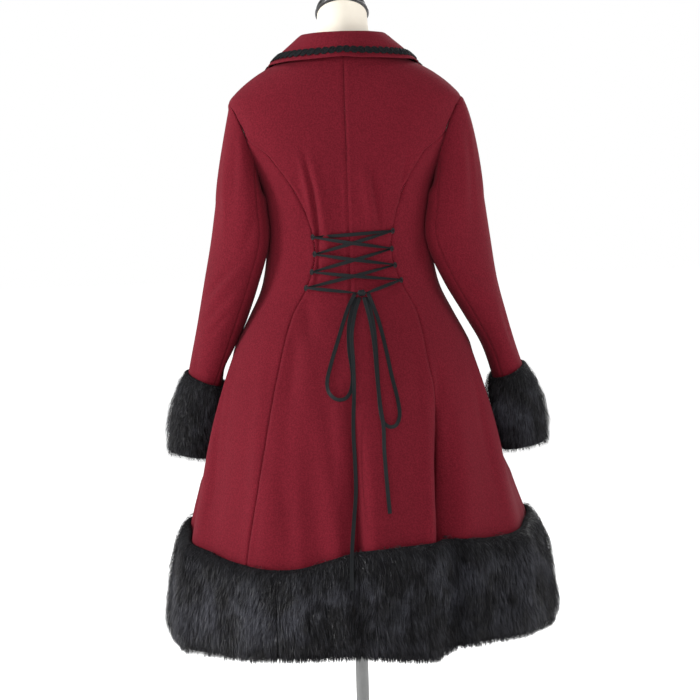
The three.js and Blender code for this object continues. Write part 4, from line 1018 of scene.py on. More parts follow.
SHELL = CLOTH * 0.8
PANEL_TOP = 1370
SIDE_BEND = 1070
OPEN_EDGE = 14
BODY_ROWS = np.concatenate([
    np.linspace(HEM, 1035, 92)[:-1], np.linspace(1035, ARMHOLE_HEIGHT, 42)[:-1],
    ARMHOLE_HEIGHT + ARMHOLE_UP * np.sin(np.linspace(0, np.pi / 2, 16)),
    np.linspace(SHOULDER_TIP, PANEL_TOP, 18)[1:]])
SIDE_ROWS = np.concatenate([
    np.linspace(HEM, SIDE_BEND, 96)[:-1], np.linspace(SIDE_BEND, ARMHOLE_HEIGHT, 34)])
panels = {}
for side, sign in (("left", 1), ("right", -1)):
    for front in (False, True):
        edge = seam_angle(side, BODY_ROWS, front)[:, None]
        if front:
            first = -OVERLAP if side == "left" else 1 - OVERLAP
            opening = np.concatenate([[first], np.linspace(first + 1, OPEN_EDGE, 12)])
            share = np.linspace(0, 1, 30)[None, 1:]
            share = share - 0.0225 * np.sin(2 * np.pi * share)
            local = np.concatenate([np.tile(opening, (len(edge), 1)), mix(OPEN_EDGE, edge, share)], 1)
        else:
            local = edge * edge_steps(66)[None, :]
        angle = sign * (180 - local if front else local)
        level = BODY_ROWS[:, None]
        stretch = (neckline(angle) - SHOULDER_TIP) / (PANEL_TOP - SHOULDER_TIP)
        z = np.where(level <= SHOULDER_TIP, level, SHOULDER_TIP + (level - SHOULDER_TIP) * stretch)
        lift = np.zeros(angle.shape)
        if front and side == "left":
            lift = PROUD * smooth((OPEN_EDGE - local) / 7)
        name = f"{'front' if front else 'back'}_{side}"
        panels[name] = panel_from(name, angle, z, lift, (not front, True))
    for front in (False, True):
        shares = edge_steps(36)
        turn = np.radians(90 + 90 * shares)
        top = armhole_height(turn)
        top_seam = seam_angle(side, top, front)
        share = (90 - ARMHOLE_SPREAD * np.sin(turn) - top_seam) / (90 - top_seam)
        share = np.where(shares >= 1, 1.0, share)
        stretch = (top - SIDE_BEND) / (ARMHOLE_HEIGHT - SIDE_BEND)
        level = SIDE_ROWS[:, None]
        z = np.where(level <= SIDE_BEND, level, SIDE_BEND + (level - SIDE_BEND) * stretch)
        local = mix(seam_angle(side, z, front), 90.0, share)
        angle = sign * (180 - local if front else local)
        name = f"side_{'front' if front else 'back'}_{side}"
        panels[name] = panel_from(name, angle, z, np.zeros(angle.shape), (True, True))
for name, (piece, width, length, area) in panels.items():
    print(name, "cut", width, "by", length, "m, flat area", round(area, 3), "faces", len(piece.data.polygons))

# %% [markdown]
# A sleeve is cut in two pieces, a wide top sleeve and a narrow under sleeve. Its cap is wider than the
# armhole it is sewn into, so it swells as it leaves the seam and then falls straight. The creases run
# across the inside of the elbow, where the arm would bend, and down from the cap.

# %% The sleeves' sections and creases
# Height, outer side, inner side, middle, half depth, twist
LEFT_SLEEVE = np.array([
    (1130, 211, 128, 12, 56, 8), (1070, 221, 126, 12, 54, 12), (1000, 235, 146, 8, 51, 10),
    (940, 247, 168, 3, 48, 7), (895, 257, 186, -2, 46, 6), (850, 267, 204, -5, 45, 4),
    (790, 281, 226, -8, 44, 0), (735, 290, 237, -10, 44, 0),
])
RIGHT_SLEEVE = np.array([
    (1130, 218, 124, 8, 54, 8), (1070, 226, 119, 9, 54, 12), (1000, 235, 147, 6, 51, 7),
    (940, 249, 181, 1, 48, 2), (895, 261, 206, -3, 46, 0), (850, 275, 221, -6, 45, 0),
    (790, 291, 235, -9, 44, 0), (735, 299, 244, -11, 44, 0),
])
SLEEVES = {"left": (1, LEFT_SLEEVE, 10, -28), "right": (-1, RIGHT_SLEEVE, 54, 0)}
UNDERARM = (6, -26)
BICEPS = 1132
SLEEVE_FOOT = 737
# Depth, half width, and points as (degrees round from the outer side through the back, height)
SLEEVE_CREASES = {
    "left": [
        (2.2, 7.0, at_angles((34, 1225), (38, 1170), (44, 1110), (46, 1060))),
        (-2.2, 8.0, at_angles((62, 1235), (64, 1180), (66, 1120))),
        (-3.0, 7.0, at_angles((84, 1040), (58, 1012), (34, 990), (14, 978))),
        (2.0, 6.5, at_angles((88, 1022), (60, 992), (36, 970))),
        (-2.6, 7.0, at_angles((96, 998), (70, 972), (44, 948), (22, 936))),
        (-1.8, 6.0, at_angles((100, 962), (78, 940), (56, 920))),
        (-2.4, 9.0, at_angles((110, 1110), (96, 1080), (84, 1052))),
        (-1.8, 8.0, at_angles((30, 900), (40, 880), (52, 862))),
        (-2.2, 8.0, at_angles((230, 1030), (262, 1004), (300, 990))),
        (1.8, 7.0, at_angles((228, 1008), (260, 980), (296, 968))),
        (-2.0, 8.0, at_angles((236, 980), (266, 954), (300, 944))),
        (-1.8, 9.0, at_angles((300, 1220), (296, 1160), (290, 1100))),
        (-1.6, 9.0, at_angles((338, 1180), (334, 1120), (328, 1070))),
    ],
    "right": [
        (-2.4, 7.5, at_angles((40, 1245), (42, 1190), (46, 1130), (50, 1070))),
        (1.8, 8.0, at_angles((62, 1240), (62, 1185), (66, 1120))),
        (-1.6, 8.0, at_angles((20, 1230), (24, 1170), (30, 1110))),
        (-2.4, 7.5, at_angles((96, 1034), (70, 1008), (40, 996))),
        (1.6, 7.0, at_angles((96, 1012), (72, 986), (44, 974))),
        (-2.2, 7.0, at_angles((100, 986), (76, 962), (50, 950))),
        (-1.8, 9.0, at_angles((28, 960), (34, 920), (40, 880))),
        (-2.2, 8.0, at_angles((232, 1026), (262, 1002), (298, 990))),
        (1.8, 7.0, at_angles((228, 1004), (258, 978), (292, 966))),
        (-1.9, 8.0, at_angles((238, 976), (268, 952), (302, 940))),
        (-1.8, 9.0, at_angles((302, 1216), (298, 1156), (292, 1096))),
        (-1.6, 9.0, at_angles((336, 1176), (332, 1112), (326, 1066))),
    ],
}


def clear_of_body(point, clearance):
    """Points moved out until they are clear of the coat's body."""
    half, back, front, power = section(point[..., 2])
    deep = np.where(point[..., 1] > 0, back, front)
    s = np.sign(point[..., 0]) * (np.abs(point[..., 0]) / half) ** (power / 2)
    c = np.sign(point[..., 1]) * (np.abs(point[..., 1]) / deep) ** (power / 2)
    edge = cloth(np.degrees(np.arctan2(s, c)), point[..., 2])
    reach = np.hypot(edge[..., 0], edge[..., 1]) + clearance
    now = np.hypot(point[..., 0], point[..., 1])
    grow = np.maximum(1, reach / np.maximum(now, 1e-6))
    return np.stack([point[..., 0] * grow, point[..., 1] * grow, point[..., 2]], -1)


def sleeve_section(side, around, z):
    sign, table, _, _ = SLEEVES[side]
    outer, inner, middle, deep, twist = (read(table, z, column) for column in range(1, 6))
    twist = np.radians(twist)
    across = np.cos(np.radians(around)) * (outer - inner) / 2
    along = np.sin(np.radians(around)) * deep
    x = (outer + inner) / 2 + across * np.cos(twist) - along * np.sin(twist)
    y = middle - across * np.sin(twist) + along * np.cos(twist)
    return np.stack([sign * x, y, z + 0 * x], -1)


def armhole_point(sign, around):
    turn = np.radians(around)
    angle = 90 - ARMHOLE_SPREAD * np.sin(turn)
    z = armhole_height(turn)
    point = cloth(sign * angle, z)
    middle = np.stack([point[..., 0], 0 * z, 0 * z + ARMHOLE_HEIGHT - 10], -1)
    return point - unit(middle - point) * 1.5 - cloth_normal(sign * angle, z) * 1.2


def sleeve_clearance(z):
    return mix(1.6, 11, smooth((905 - z) / 45))


def sleeve_grid(side, around, cap_shares, arm_heights):
    """Points of a sleeve: the cap swings from the armhole to the upper arm, the rest hangs."""
    sign, _, swell_out, swell_up = SLEEVES[side]
    around = np.asarray(around, float)[None, :]
    t = np.asarray(cap_shares)[:, None, None]
    start = armhole_point(sign, around)
    end = sleeve_section(side, around, np.full(around.shape, float(BICEPS)))
    lean = np.cos(np.radians(around))
    top = (1 + lean) / 2
    leave = np.stack([sign * mix(UNDERARM[0], swell_out, top), 26 * np.sin(np.radians(around)),
                      mix(UNDERARM[1], swell_up - 18, top)], -1)
    arrive = np.stack([0 * lean, 0 * lean, -70 - 40 * lean], -1)
    cap = (start * (2 * t**3 - 3 * t**2 + 1) + leave * (t**3 - 2 * t**2 + t)
           + end * (3 * t**2 - 2 * t**3) + arrive * (t**3 - t**2))
    cleared = clear_of_body(cap, 0.25 + 0.95 * smooth(t[..., 0] / 0.2))
    cap = np.where(t == 0, cap, cleared)
    z = np.asarray(arm_heights, float)[:, None] + 0 * around
    arm = clear_of_body(sleeve_section(side, around + 0 * z, z), sleeve_clearance(z))
    return np.concatenate([cap, arm])


CAP_SHARES = np.concatenate([[0, 0.01, 0.025, 0.045, 0.07], np.linspace(0.1, 1, 20)])
ARM_HEIGHTS = np.linspace(1125, SLEEVE_FOOT, 88)
SLEEVE_SEAM = 120
sleeves = {}
for side in ("left", "right"):
    sign = SLEEVES[side][0]
    for upper in (True, False):
        steps = edge_steps(46 if upper else 24, (0.004, 0.009, 0.015, 0.024, 0.036))
        start, end = (-SLEEVE_SEAM, SLEEVE_SEAM) if upper else (SLEEVE_SEAM, 360 - SLEEVE_SEAM)
        around = mix(start, end, steps)
        grid = sleeve_grid(side, around, CAP_SHARES, ARM_HEIGHTS)
        normal = grid_normals(grid) * -sign
        round_place = np.mod(np.broadcast_to(around[None, :], grid.shape[:2]), 360)
        press = crease_offset(SLEEVE_CREASES[side], round_place, grid[..., 2], np.full(grid.shape[:2], 0.86))
        sewn = sewn_edges(grid, True, True, 1.1, 2.0)
        rows = run_lengths(grid[:, len(around) // 2])
        cap_seam = -0.9 * np.exp(-(rows / 2.5) ** 2) + 0.7 * np.exp(-((rows - 7) / 4) ** 2)
        outer = grid + normal * (press + sewn + cap_seam[:, None])[..., None]
        outer = np.where(rows[:, None, None] < 1, grid, outer)
        inner = outer - normal * SHELL
        name = f"{'top' if upper else 'under'}_sleeve_{side}"
        piece = shell_piece(name + "_wool", outer, inner, wool)
        settle(piece, "wool", name)
        sleeves[name] = with_cut(piece, outer)
        print(name, "cut", *sleeves[name][1:3], "faces", len(piece.data.polygons))

# %% [markdown]
# The collar stands up from the neckline, folds over, and falls flat on the shoulders, so one sheet makes
# it: a grid that runs up the inside, over a soft fold and down to the outer edge. A scalloped braid is
# sewn on just inside that edge.

# %% The collar
# Angle from the centre back, rise of the fold line, how far out it is
FOLD_LINE = np.array([(0, 25, 1), (90, 26, 0), (130, 20, 3), (168, 10, 1)], float)
# Angle from the centre back, height of the outer edge, how far off the cloth it lies
COLLAR_EDGE = np.array([
    (0, 1351, 12), (45, 1345, 8), (90, 1343, 4), (108, 1336, 4), (130, 1294, 8), (152, 1245, 8),
    (168, 1262, 8),
], float)
COLLAR_END = 167
# Shares of the way down the sheet: it stands as far as STAND, bends over, and falls from BROW on
STAND, BROW = 0.24, 0.38


def collar_points(angle, down):
    """Points of the collar: down runs from its seam on the neckline, over the fold, to the outer edge."""
    angle, down = np.broadcast_arrays(np.asarray(angle, float), np.asarray(down, float))
    at = np.abs(angle)
    seat = neckline(angle)
    base_z = seat + mix(1.2, 3.2, smooth((at - 90) / 40))
    base = cloth(angle, base_z) - cloth_normal(angle, base_z) * CLOTH
    rise, out = read(FOLD_LINE, at, 1), read(FOLD_LINE, at, 2)
    ring = cloth(angle, seat)
    away = unit(ring * np.array([1, 1, 0]))
    fold = cloth(angle, np.minimum(seat + rise, 1400))
    fold[..., 2] = seat + rise
    fold = fold + away * out[..., None]
    edge_z = read(COLLAR_EDGE, at, 1)
    edge = cloth(angle, edge_z) + cloth_normal(angle, edge_z) * read(COLLAR_EDGE, at, 2)[..., None]
    stand = fold - away * 3.2 - np.array([0, 0, 4.0])
    brow = fold + away * 3.2 - np.array([0, 0, 3.0])
    stops = [(0.0, base), (STAND, stand), (0.31, fold), (BROW, brow), (1.0, edge)]
    point = base.copy()
    for (a, first), (b, second) in zip(stops[:-1], stops[1:]):
        t = np.clip((down - a) / (b - a), 0, 1)[..., None]
        point = np.where((down > a)[..., None], mix(first, second, t), point)
    t = np.clip((down - BROW) / (1 - BROW), 0, 1)
    fall = point + away * (1.5 * np.sin(np.pi * t))[..., None]
    fall = clear_of_body(fall, mix(6, 11, smooth((at - 90) / 30)))
    return np.where((down > BROW)[..., None], fall, point)


collar_across = np.concatenate([np.linspace(-COLLAR_END, -COLLAR_END + 3, 5)[:-1],
                                np.linspace(-COLLAR_END + 3, COLLAR_END - 3, 112),
                                np.linspace(COLLAR_END - 3, COLLAR_END, 5)[1:]])
collar_down = np.concatenate([np.linspace(0, STAND, 7)[:-1], np.linspace(STAND, BROW, 10)[:-1],
                              np.linspace(BROW, 0.97, 20)[:-1], [0.97, 0.985, 1.0]])
collar_grid = collar_points(collar_across[None, :], collar_down[:, None])
# The fold is rounded by averaging each point with its neighbours along the way down
for _ in range(3):
    inside = slice(3, -3)
    collar_grid[inside] = 0.5 * collar_grid[inside] + 0.25 * (collar_grid[2:-4] + collar_grid[4:-2])
ripple = 0.9 * np.sin(np.radians(collar_across * 4.3 + 20)) + 0.6 * np.sin(np.radians(collar_across * 9.1))
collar_normal = grid_normals(collar_grid)
if np.mean(np.sum(collar_normal[-8:] * collar_grid[-8:] * np.array([1, 1, 0]), -1)) < 0:
    collar_normal = -collar_normal
fall_share = smooth((collar_down - 0.5) / 0.5)[:, None]
collar_outer = collar_grid + collar_normal * (ripple[None, :] * fall_share * 0.8 + 0.3)[..., None]
collar_inner = collar_outer - collar_normal * CLOTH
# The edge is turned under, so its last rows close in on each other
for k, share in ((-1, 0.42), (-2, 0.15)):
    middle = (collar_outer[k] + collar_inner[k]) / 2
    collar_outer[k] = mix(collar_outer[k], middle, share)
    collar_inner[k] = mix(collar_inner[k], middle, share)
collar = shell_piece("collar_wool", collar_outer, collar_inner, wool)
settle(collar, "wool", "collar")
print("collar faces", len(collar.data.polygons))

# %% [markdown]
# The braid is a plaited band with two cords. They swing across it in turn and loop out past its edges,
# which gives the braid its scallops above and below.

# %% The scalloped braid
# The braid lies a little nearer to the collar's edge at the sides; swing is half its height, less a cord
BRAID_DOWN = np.array([(0, 0.825), (50, 0.845), (100, 0.86), (130, 0.84), (168, 0.83)])
BRAID_SWING = 0.070
BRAID_TURNS = 26


def on_collar(angle, down, out):
    """Places above the collar's fall, out millimetres off it."""
    point = collar_points(angle, down)
    step = collar_points(angle + 0.5, down) - collar_points(angle - 0.5, down)
    fall = collar_points(angle, down + 0.03) - collar_points(angle, down - 0.03)
    normal = unit(np.cross(step, fall))
    outwards = np.sum(normal * point * np.array([1, 1, 0]), -1) < 0
    return point + normal * np.where(outwards, -1.0, 1.0)[..., None] * np.asarray(out)[..., None]


def braid_place(share, row, out):
    """A place on the braid: share runs along it, row from -1 at its top edge to 1 at its lower edge."""
    angle = mix(-COLLAR_END + 4, COLLAR_END - 4, share)
    return on_collar(angle, read(BRAID_DOWN, np.abs(angle)) + BRAID_SWING * row, out)


def scallop_cord(turn_share):
    """One of the two cords that loop out past the band in turn and make its scalloped edges."""
    share = np.linspace(0, 1, BRAID_TURNS * 24 + 1)
    phase = 2 * np.pi * (share * BRAID_TURNS + turn_share)
    hump = np.sign(np.sin(phase)) * np.abs(np.sin(phase)) ** 0.6
    line = braid_place(share, hump, 1.6 + 0.5 * np.cos(phase))
    along = unit(np.gradient(line, axis=0))
    up = unit(braid_place(share, 0 * share, 4.0 + 0 * share) - braid_place(share, 0 * share, 0 * share))
    across = unit(np.cross(along, up))
    ring = np.radians(np.arange(8) * 45.0)
    twist = 1 + 0.16 * np.cos(6 * phase)
    tube = np.stack([line + (across * 1.5 * np.cos(a) + up * 1.1 * np.sin(a)) * twist[:, None]
                     for a in ring], 1)
    uv = np.stack(np.meshgrid(np.arange(8) / 8, np.arange(len(line)) / 22), -1)
    return tube.reshape(-1, 3), grid_faces(len(line), 8, 0, True)[:, ::-1], uv.reshape(-1, 2)


# The band between them is plaited, so its threads make small slanting ridges that meet along its middle
share, row = np.meshgrid(np.linspace(0, 1, BRAID_TURNS * 26), np.linspace(-0.72, 0.72, 7))
plait = np.abs(np.sin(2 * np.pi * BRAID_TURNS * share * 1.5 + 2.6 * np.abs(row)))
face = braid_place(share, row, 1.7 + 1.2 * plait * (1 - 0.5 * row ** 2))
back = braid_place(share, row, 0.9 + 0 * share)
first_cord, second_cord = scallop_cord(0.0), scallop_cord(0.5)
points, quads, uv = joined([first_cord, second_cord, shell_points(face, back)])
corner = np.arange(8)
cord_size = len(first_cord[0])
ends = np.array([corner, corner[::-1] + cord_size - 8])
ends = np.concatenate([ends, ends + cord_size])
braid = mesh_piece("collar_braid_thread", points, [quads, ends], braid_thread, uv)
settle(braid, "braid", "collar_braid")
print("braid faces", len(braid.data.polygons))

# %% [markdown]
# Fur is the coat's strongest feature. Real long-pile cloth is a knitted back with tens of thousands of
# hairs that lie one way, cling together in locks and part in places. Here each hair is a narrow tapering
# blade that leaves the cloth, bends down and ends in a point. Neighbouring hairs lean towards a shared
# point, which makes the locks, and a dark layer below them stands for the pile too dense to see into.

# %% How hairs are made
HAIR_POINTS = 5


def hair_blades(roots, outs, lengths, lean, wide, twist, height):
    """Blades that taper to a point at the tip. Their UVs keep the place on the band and along the hair."""
    count = len(roots)
    sag = lean["down"][:, None] * np.array([0, 0, -1.0])
    centres = []
    for s in (0.0, 0.45, 1.0):
        reach = outs * (lengths * lean["out"] * (s - 0.42 * s * s))[:, None]
        hang = sag * (lengths * (s ** 1.5))[:, None]
        sway = lean["side"] * (lengths * s * s)[:, None]
        centres.append(roots + reach + hang + sway)
    centres = np.stack(centres, 1)
    along = unit(centres[:, 1] - centres[:, 0])
    across = unit(np.cross(along, outs))
    across = unit(across * np.cos(twist)[:, None] + outs * np.sin(twist)[:, None])
    half = (wide / 2)[:, None]
    points = np.stack([
        centres[:, 0] - across * half, centres[:, 0] + across * half,
        centres[:, 1] - across * half * 0.9, centres[:, 1] + across * half * 0.9,
        centres[:, 2]], 1)
    first = np.arange(count)[:, None] * HAIR_POINTS
    quads = first + np.array([0, 1, 3, 2])
    tips = first + np.array([2, 3, 4])
    uv = np.column_stack([np.repeat(height, HAIR_POINTS), np.tile([0, 0, 0.45, 0.45, 1.0], count)])
    return points.reshape(-1, 3), quads, tips, uv


def lock_lean(u, v, size_u, size_v, source):
    """Each hair leans towards the middle of its lock, on a grid of shifted cells."""
    cell_u = np.floor(u / size_u)
    cell_v = np.floor(v / size_v + 0.5 * np.mod(cell_u, 2))
    jitter = np.sin(cell_u * 12.9898 + cell_v * 78.233 + source) * 43758.5453
    jitter = jitter - np.floor(jitter)
    second = np.sin(cell_u * 39.425 + cell_v * 11.135 + source) * 24634.633
    second = second - np.floor(second)
    centre_u = (cell_u + 0.25 + 0.5 * jitter) * size_u
    centre_v = (cell_v - 0.5 * np.mod(cell_u, 2) + 0.25 + 0.5 * second) * size_v
    return centre_u - u, centre_v - v, jitter


def lumps(u, v):
    """Slow swells and hollows of the pile, about five centimetres across, from -1 to 1."""
    return (np.sin(u / 8.3 + 1.7 * np.sin(v / 19.0)) * np.cos(v / 9.7 + 1.3 * np.sin(u / 23.0))
            + 0.6 * np.sin(u / 17.0 - v / 13.0 + 1.0) + 0.4 * np.sin(u / 5.1 + v / 6.3)) / 2


def fur_piece(node, roots, outs, u, height, base_length, seat, edge_up):
    """Hair over a dark seat layer, as one piece."""
    count = len(roots)
    v = roots[:, 2]
    sides = unit(np.cross(outs, np.array([0, 0, 1.0])))
    to_u, to_v, jitter = lock_lean(u, v, 4.5, 15.0, 3.1)
    wide_u, wide_v, wave = lock_lean(u, v, 26.0, 40.0, 8.7)
    length = base_length * (0.80 + 0.34 * chance.random(count)) * (0.90 + 0.20 * jitter)
    side = (0.5 * to_u + 0.16 * wide_u) / length + 0.13 * np.sin(v / 21.0 + 2 * wave)
    side = side + 0.09 * chance.normal(size=count)
    stray = chance.normal(size=count) * 0.10
    down = 0.84 + stray + 0.16 * np.clip((0.5 * to_v + 0.2 * wide_v) / length, -1, 1) - 1.1 * edge_up
    out = 0.50 + 0.18 * chance.random(count) + 0.16 * (wave - 0.5) + 0.5 * edge_up
    lean = {"down": down, "out": out, "side": sides * np.clip(side, -0.6, 0.6)[:, None]}
    wide = 0.30 + 0.24 * chance.random(count)
    twist = chance.normal(size=count) * 0.55
    points, quads, tips, uv = hair_blades(roots, outs, length, lean, wide, twist, height)
    seat_points, seat_faces, seat_uv = seat
    points = np.concatenate([points, seat_points])
    uv = np.concatenate([uv, seat_uv * 0])
    faces = [quads, tips, seat_faces + count * HAIR_POINTS]
    piece = mesh_piece(node + "_pile", points, faces, fur_hair, uv)
    piece.data.materials.append(fur_skin)
    index = np.zeros(len(piece.data.polygons), dtype=np.int32)
    index[len(quads) + len(tips):] = 1
    piece.data.polygons.foreach_set("material_index", index)
    settle(piece, "fur", node)
    print(piece.name, count, "hairs, faces", len(piece.data.polygons))


print("points in a hair:", HAIR_POINTS)

# %% [markdown]
# The hem's band is made in four parts, as its solids are. Tables give its top edge, its foot and how
# thick the pile is between them. One hair in six or so grows close to the foot and makes the lower edge
# uneven, and the others are spread over the band.

# %% The fur hem
# Angle from the centre back, height of the top edge, height of the foot
FUR_EDGES = np.array([
    (-180, 606, 447), (-120, 618, 449), (-90, 632, 449), (-55, 610, 452), (-32, 613, 451),
    (-24, 612, 437), (0, 604, 447), (20, 580, 444), (40, 584, 441), (62, 602, 440), (90, 628, 442),
    (120, 616, 446), (180, 606, 447),
], float)
FUR_PILE = np.array([(0, 10), (0.1, 23), (0.35, 28), (0.7, 26), (0.93, 19), (1, 8)], float)
HEM_PARTS = {"back": (-34.5, 40.5), "left": (40.5, 139.5), "front": (139.5, 220.5), "right": (-139.5, -34.5)}
HEM_HAIRS = 34000
FOOT_SHARE = 0.17
HEM_RADIUS, PILE_FOOT, PILE_TALL = 290, 450, 160


def hem_angles(angle):
    return np.where(angle > 180, angle - 360, angle)


def hem_surface(angle, up, out):
    """A place on the hem: up runs from its foot to its top edge."""
    turn = hem_angles(angle)
    z = mix(read(FUR_EDGES, turn, 2), read(FUR_EDGES, turn, 1), up)
    return cloth(turn, z) + plain_normal(turn, z) * np.asarray(out)[..., None]


def hem_lumps(angle, up):
    return lumps(np.radians(angle) * HEM_RADIUS, PILE_FOOT + PILE_TALL * up)


for part, (first, last) in HEM_PARTS.items():
    angles = np.linspace(first, last, 46)
    ups = np.array([0.008, 0.025, 0.06, 0.12, 0.2, 0.32, 0.45, 0.6, 0.75, 0.86, 0.94, 0.985])
    grid_angle, grid_up = np.meshgrid(angles, ups)
    reach = read(FUR_PILE, grid_up)
    thin_foot = mix(0.5, 1, smooth(grid_up / 0.1))
    full = smooth((reach - 12) / 10)
    seat_depth = reach * 0.66 * thin_foot + 3.0 * hem_lumps(grid_angle, grid_up) * full
    outer = hem_surface(grid_angle, grid_up, seat_depth)
    inner = hem_surface(grid_angle, grid_up, np.full(grid_up.shape, 2.2))
    angle = chance.uniform(first, last, HEM_HAIRS)
    up = chance.random(HEM_HAIRS)
    at_foot = up < FOOT_SHARE
    near_foot = 0.004 + 0.045 * up / FOOT_SHARE
    above_foot = 0.03 + 0.965 * (up - FOOT_SHARE) / (1 - FOOT_SHARE)
    up = np.where(at_foot, near_foot, above_foot)
    depth = read(FUR_PILE, up)
    swell = hem_lumps(angle, up)
    rise = chance.random(HEM_HAIRS)
    root_share = np.where(at_foot, 0.2 + 0.6 * rise, 0.48 + 0.28 * rise)
    out = depth * root_share + 3.4 * swell * smooth((depth - 12) / 10)
    top_edge = smooth((up - 0.90) / 0.09)
    roots = hem_surface(angle, up + 0.035 * top_edge * swell, out)
    turn_here = hem_angles(angle)
    outs = plain_normal(turn_here, roots[:, 2])
    u = np.radians(turn_here) * np.hypot(roots[:, 0], roots[:, 1])
    low_edge = smooth((0.22 - up) / 0.2)
    length = mix(20.0, 12.5, top_edge) * (1 - 0.45 * low_edge) * mix(0.8, 1.0, smooth(depth / 22))
    seat = shell_points(outer, inner)
    fur_piece(f"fur_hem_{part}", roots, outs, u, up, length, seat, top_edge * 0.6)

# %% [markdown]
# A cuff follows its own sleeve, so its surface is the sleeve's, moved out. Its hairs get shorter towards
# both of its edges.

# %% The fur cuffs
CUFF_TOP, CUFF_FOOT, CUFF_TILT = 856, 724, 11
CUFF_PILE = np.array([(0, 6), (0.12, 16), (0.45, 22), (0.8, 19), (1, 5)], float)
CUFF_HAIRS = 13500


def cuff_surface(side, around, up, out):
    """A place on a cuff: around as on its sleeve, up from its foot to its top edge."""
    slope = CUFF_TILT * np.cos(np.radians(around)) - 6 * np.sin(np.radians(around))
    lip = 6 * np.cos(np.radians(around)) * (1 - up)
    z = mix(CUFF_FOOT, CUFF_TOP, up) + slope * up + lip
    middle = (sleeve_section(side, around, z) + sleeve_section(side, around + 180, z)) / 2
    point = clear_of_body(sleeve_section(side, around, z), sleeve_clearance(z))
    away = unit((point - middle) * np.array([1, 1, 0]))
    return clear_of_body(point + away * np.asarray(out)[..., None], 2.2), away


for side in ("left", "right"):
    columns, ups = 48, np.array([0.04, 0.1, 0.2, 0.35, 0.5, 0.65, 0.8, 0.9, 0.97])
    ring = np.arange(columns) * 360 / columns
    grid_ring, grid_up = np.meshgrid(ring, ups)
    outer, _ = cuff_surface(side, grid_ring, grid_up, read(CUFF_PILE, grid_up) * 0.62 + 0.8)
    inner, _ = cuff_surface(side, grid_ring, grid_up, np.full(grid_up.shape, 1.0))
    around = chance.uniform(0, 360, CUFF_HAIRS)
    up = chance.random(CUFF_HAIRS) * 0.94 + 0.04
    depth = read(CUFF_PILE, up)
    swell = lumps(around * 0.9, 140 * up)
    out = depth * (0.48 + 0.28 * chance.random(CUFF_HAIRS)) + 2.4 * swell * smooth(depth / 14)
    roots, outs = cuff_surface(side, around, up, out)
    top_edge = smooth((up - 0.88) / 0.1)
    low_edge = smooth((0.2 - up) / 0.18)
    length = mix(16.5, 10.5, top_edge) * (1 - 0.4 * low_edge) * mix(0.75, 1.0, smooth(depth / 15))
    seat = shell_points(outer, inner, True)
    fur_piece(f"fur_cuff_{side}", roots, outs, np.radians(around) * 52, up, length, seat, top_edge * 0.5)

# %% [markdown]
# The front can't be seen in the photograph, so it closes in the plainest way that such a coat has: one
# row of shank buttons. The dress form, its neck cap, the pole and the foot keep the solids' own shapes
# and get their finishes; the form's cover and the buttons are remade with finer faces.

# %% Buttons
BUTTONS = {"count": 6, "high": 1268, "low": 838}
# Distance from the middle and height, from the back's edge round to the middle of the face
button_profile = np.array([
    (10.6, 0.0), (11.6, 0.5), (12.0, 1.4), (11.9, 2.6), (11.2, 3.6), (10.2, 4.2), (9.3, 4.4),
    (8.6, 4.2), (8.0, 3.7), (7.2, 3.4), (5.5, 3.5), (3.4, 3.75), (1.4, 3.9),
])
turn = np.linspace(0, 2 * np.pi, 48, endpoint=False)
across, level = button_profile[:, :1], button_profile[:, 1:]
rings = np.stack([across * np.cos(turn), across * np.sin(turn), level + 0 * turn], -1)
points, quads, caps = capped_rings(rings, [0, 0, level[0, 0]], [0, 0, level[-1, 0]])
for k in range(BUTTONS["count"]):
    z = mix(BUTTONS["high"], BUTTONS["low"], k / (BUTTONS["count"] - 1))
    low, high = (np.array(corner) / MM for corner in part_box(f"button_{k + 1}"))
    facing = Vector((0, 0, 1)).rotation_difference(Vector(cloth_normal(180.0, z)))
    spun = points @ np.array(facing.to_matrix()).T
    spun = spun + (low + high) / 2 - (spun.max(0) + spun.min(0)) / 2
    button = mesh_piece(f"button_{k + 1}_turned", spun, [quads, caps], button_gloss, points[:, :2] * MM)
    settle(button, "button", f"button_{k + 1}")
print("buttons:", BUTTONS["count"])

# %% [markdown]
# The form's cover follows the coat's sections a few millimetres further in, and tables of its own below
# the waist and at the neck, so that it doesn't show through the cloth. The neck ends in a slanting plane
# under a rounded cap.

# %% The dress form
FORM = np.array([
    (800, 128, 92, 96), (806, 142, 104, 108), (830, 156, 116, 116), (880, 163, 124, 118),
    (940, 148, 108, 108), (990, 130, 92, 100),
], float)
NECK = np.array([(1366, 71, 65, 50), (1380, 53, 55, 44), (1396, 43, 49, 41), (1412, 40, 47, 39)], float)
NECK_TOP = {"back": 1444, "front": 1405}


def form_section(z):
    if z < 1000:
        return [float(read(FORM, z, k)) for k in (1, 2, 3)] + [2.1]
    if z > 1365:
        return [float(read(NECK, z, k)) for k in (1, 2, 3)] + [2.0]
    half, back, front, power = (float(v) for v in section(z))
    inside = 3.4 if z > 1300 else float(mix(6.5, 4.2, smooth((z - 1150) / 130)))
    slope = 3.2 * float(smooth((z - 1295) / 10) * smooth((1372 - z) / 10)) if z > 1295 else 0
    throat = 7 * float(smooth((z - 1295) / 25))
    tip = 5 * float(smooth(1 - abs(z - 1285) / 40))
    return [half - inside - slope - tip, back - inside, front - inside - throat, power]


def neck_top(angle, share, above):
    x, y = oval(39.5, 45, 40, 2, angle)
    slant = mix(NECK_TOP["front"], NECK_TOP["back"], (y * share + 40) / 85)
    return np.stack([x * share, y * share + 1.5, slant + above], -1)


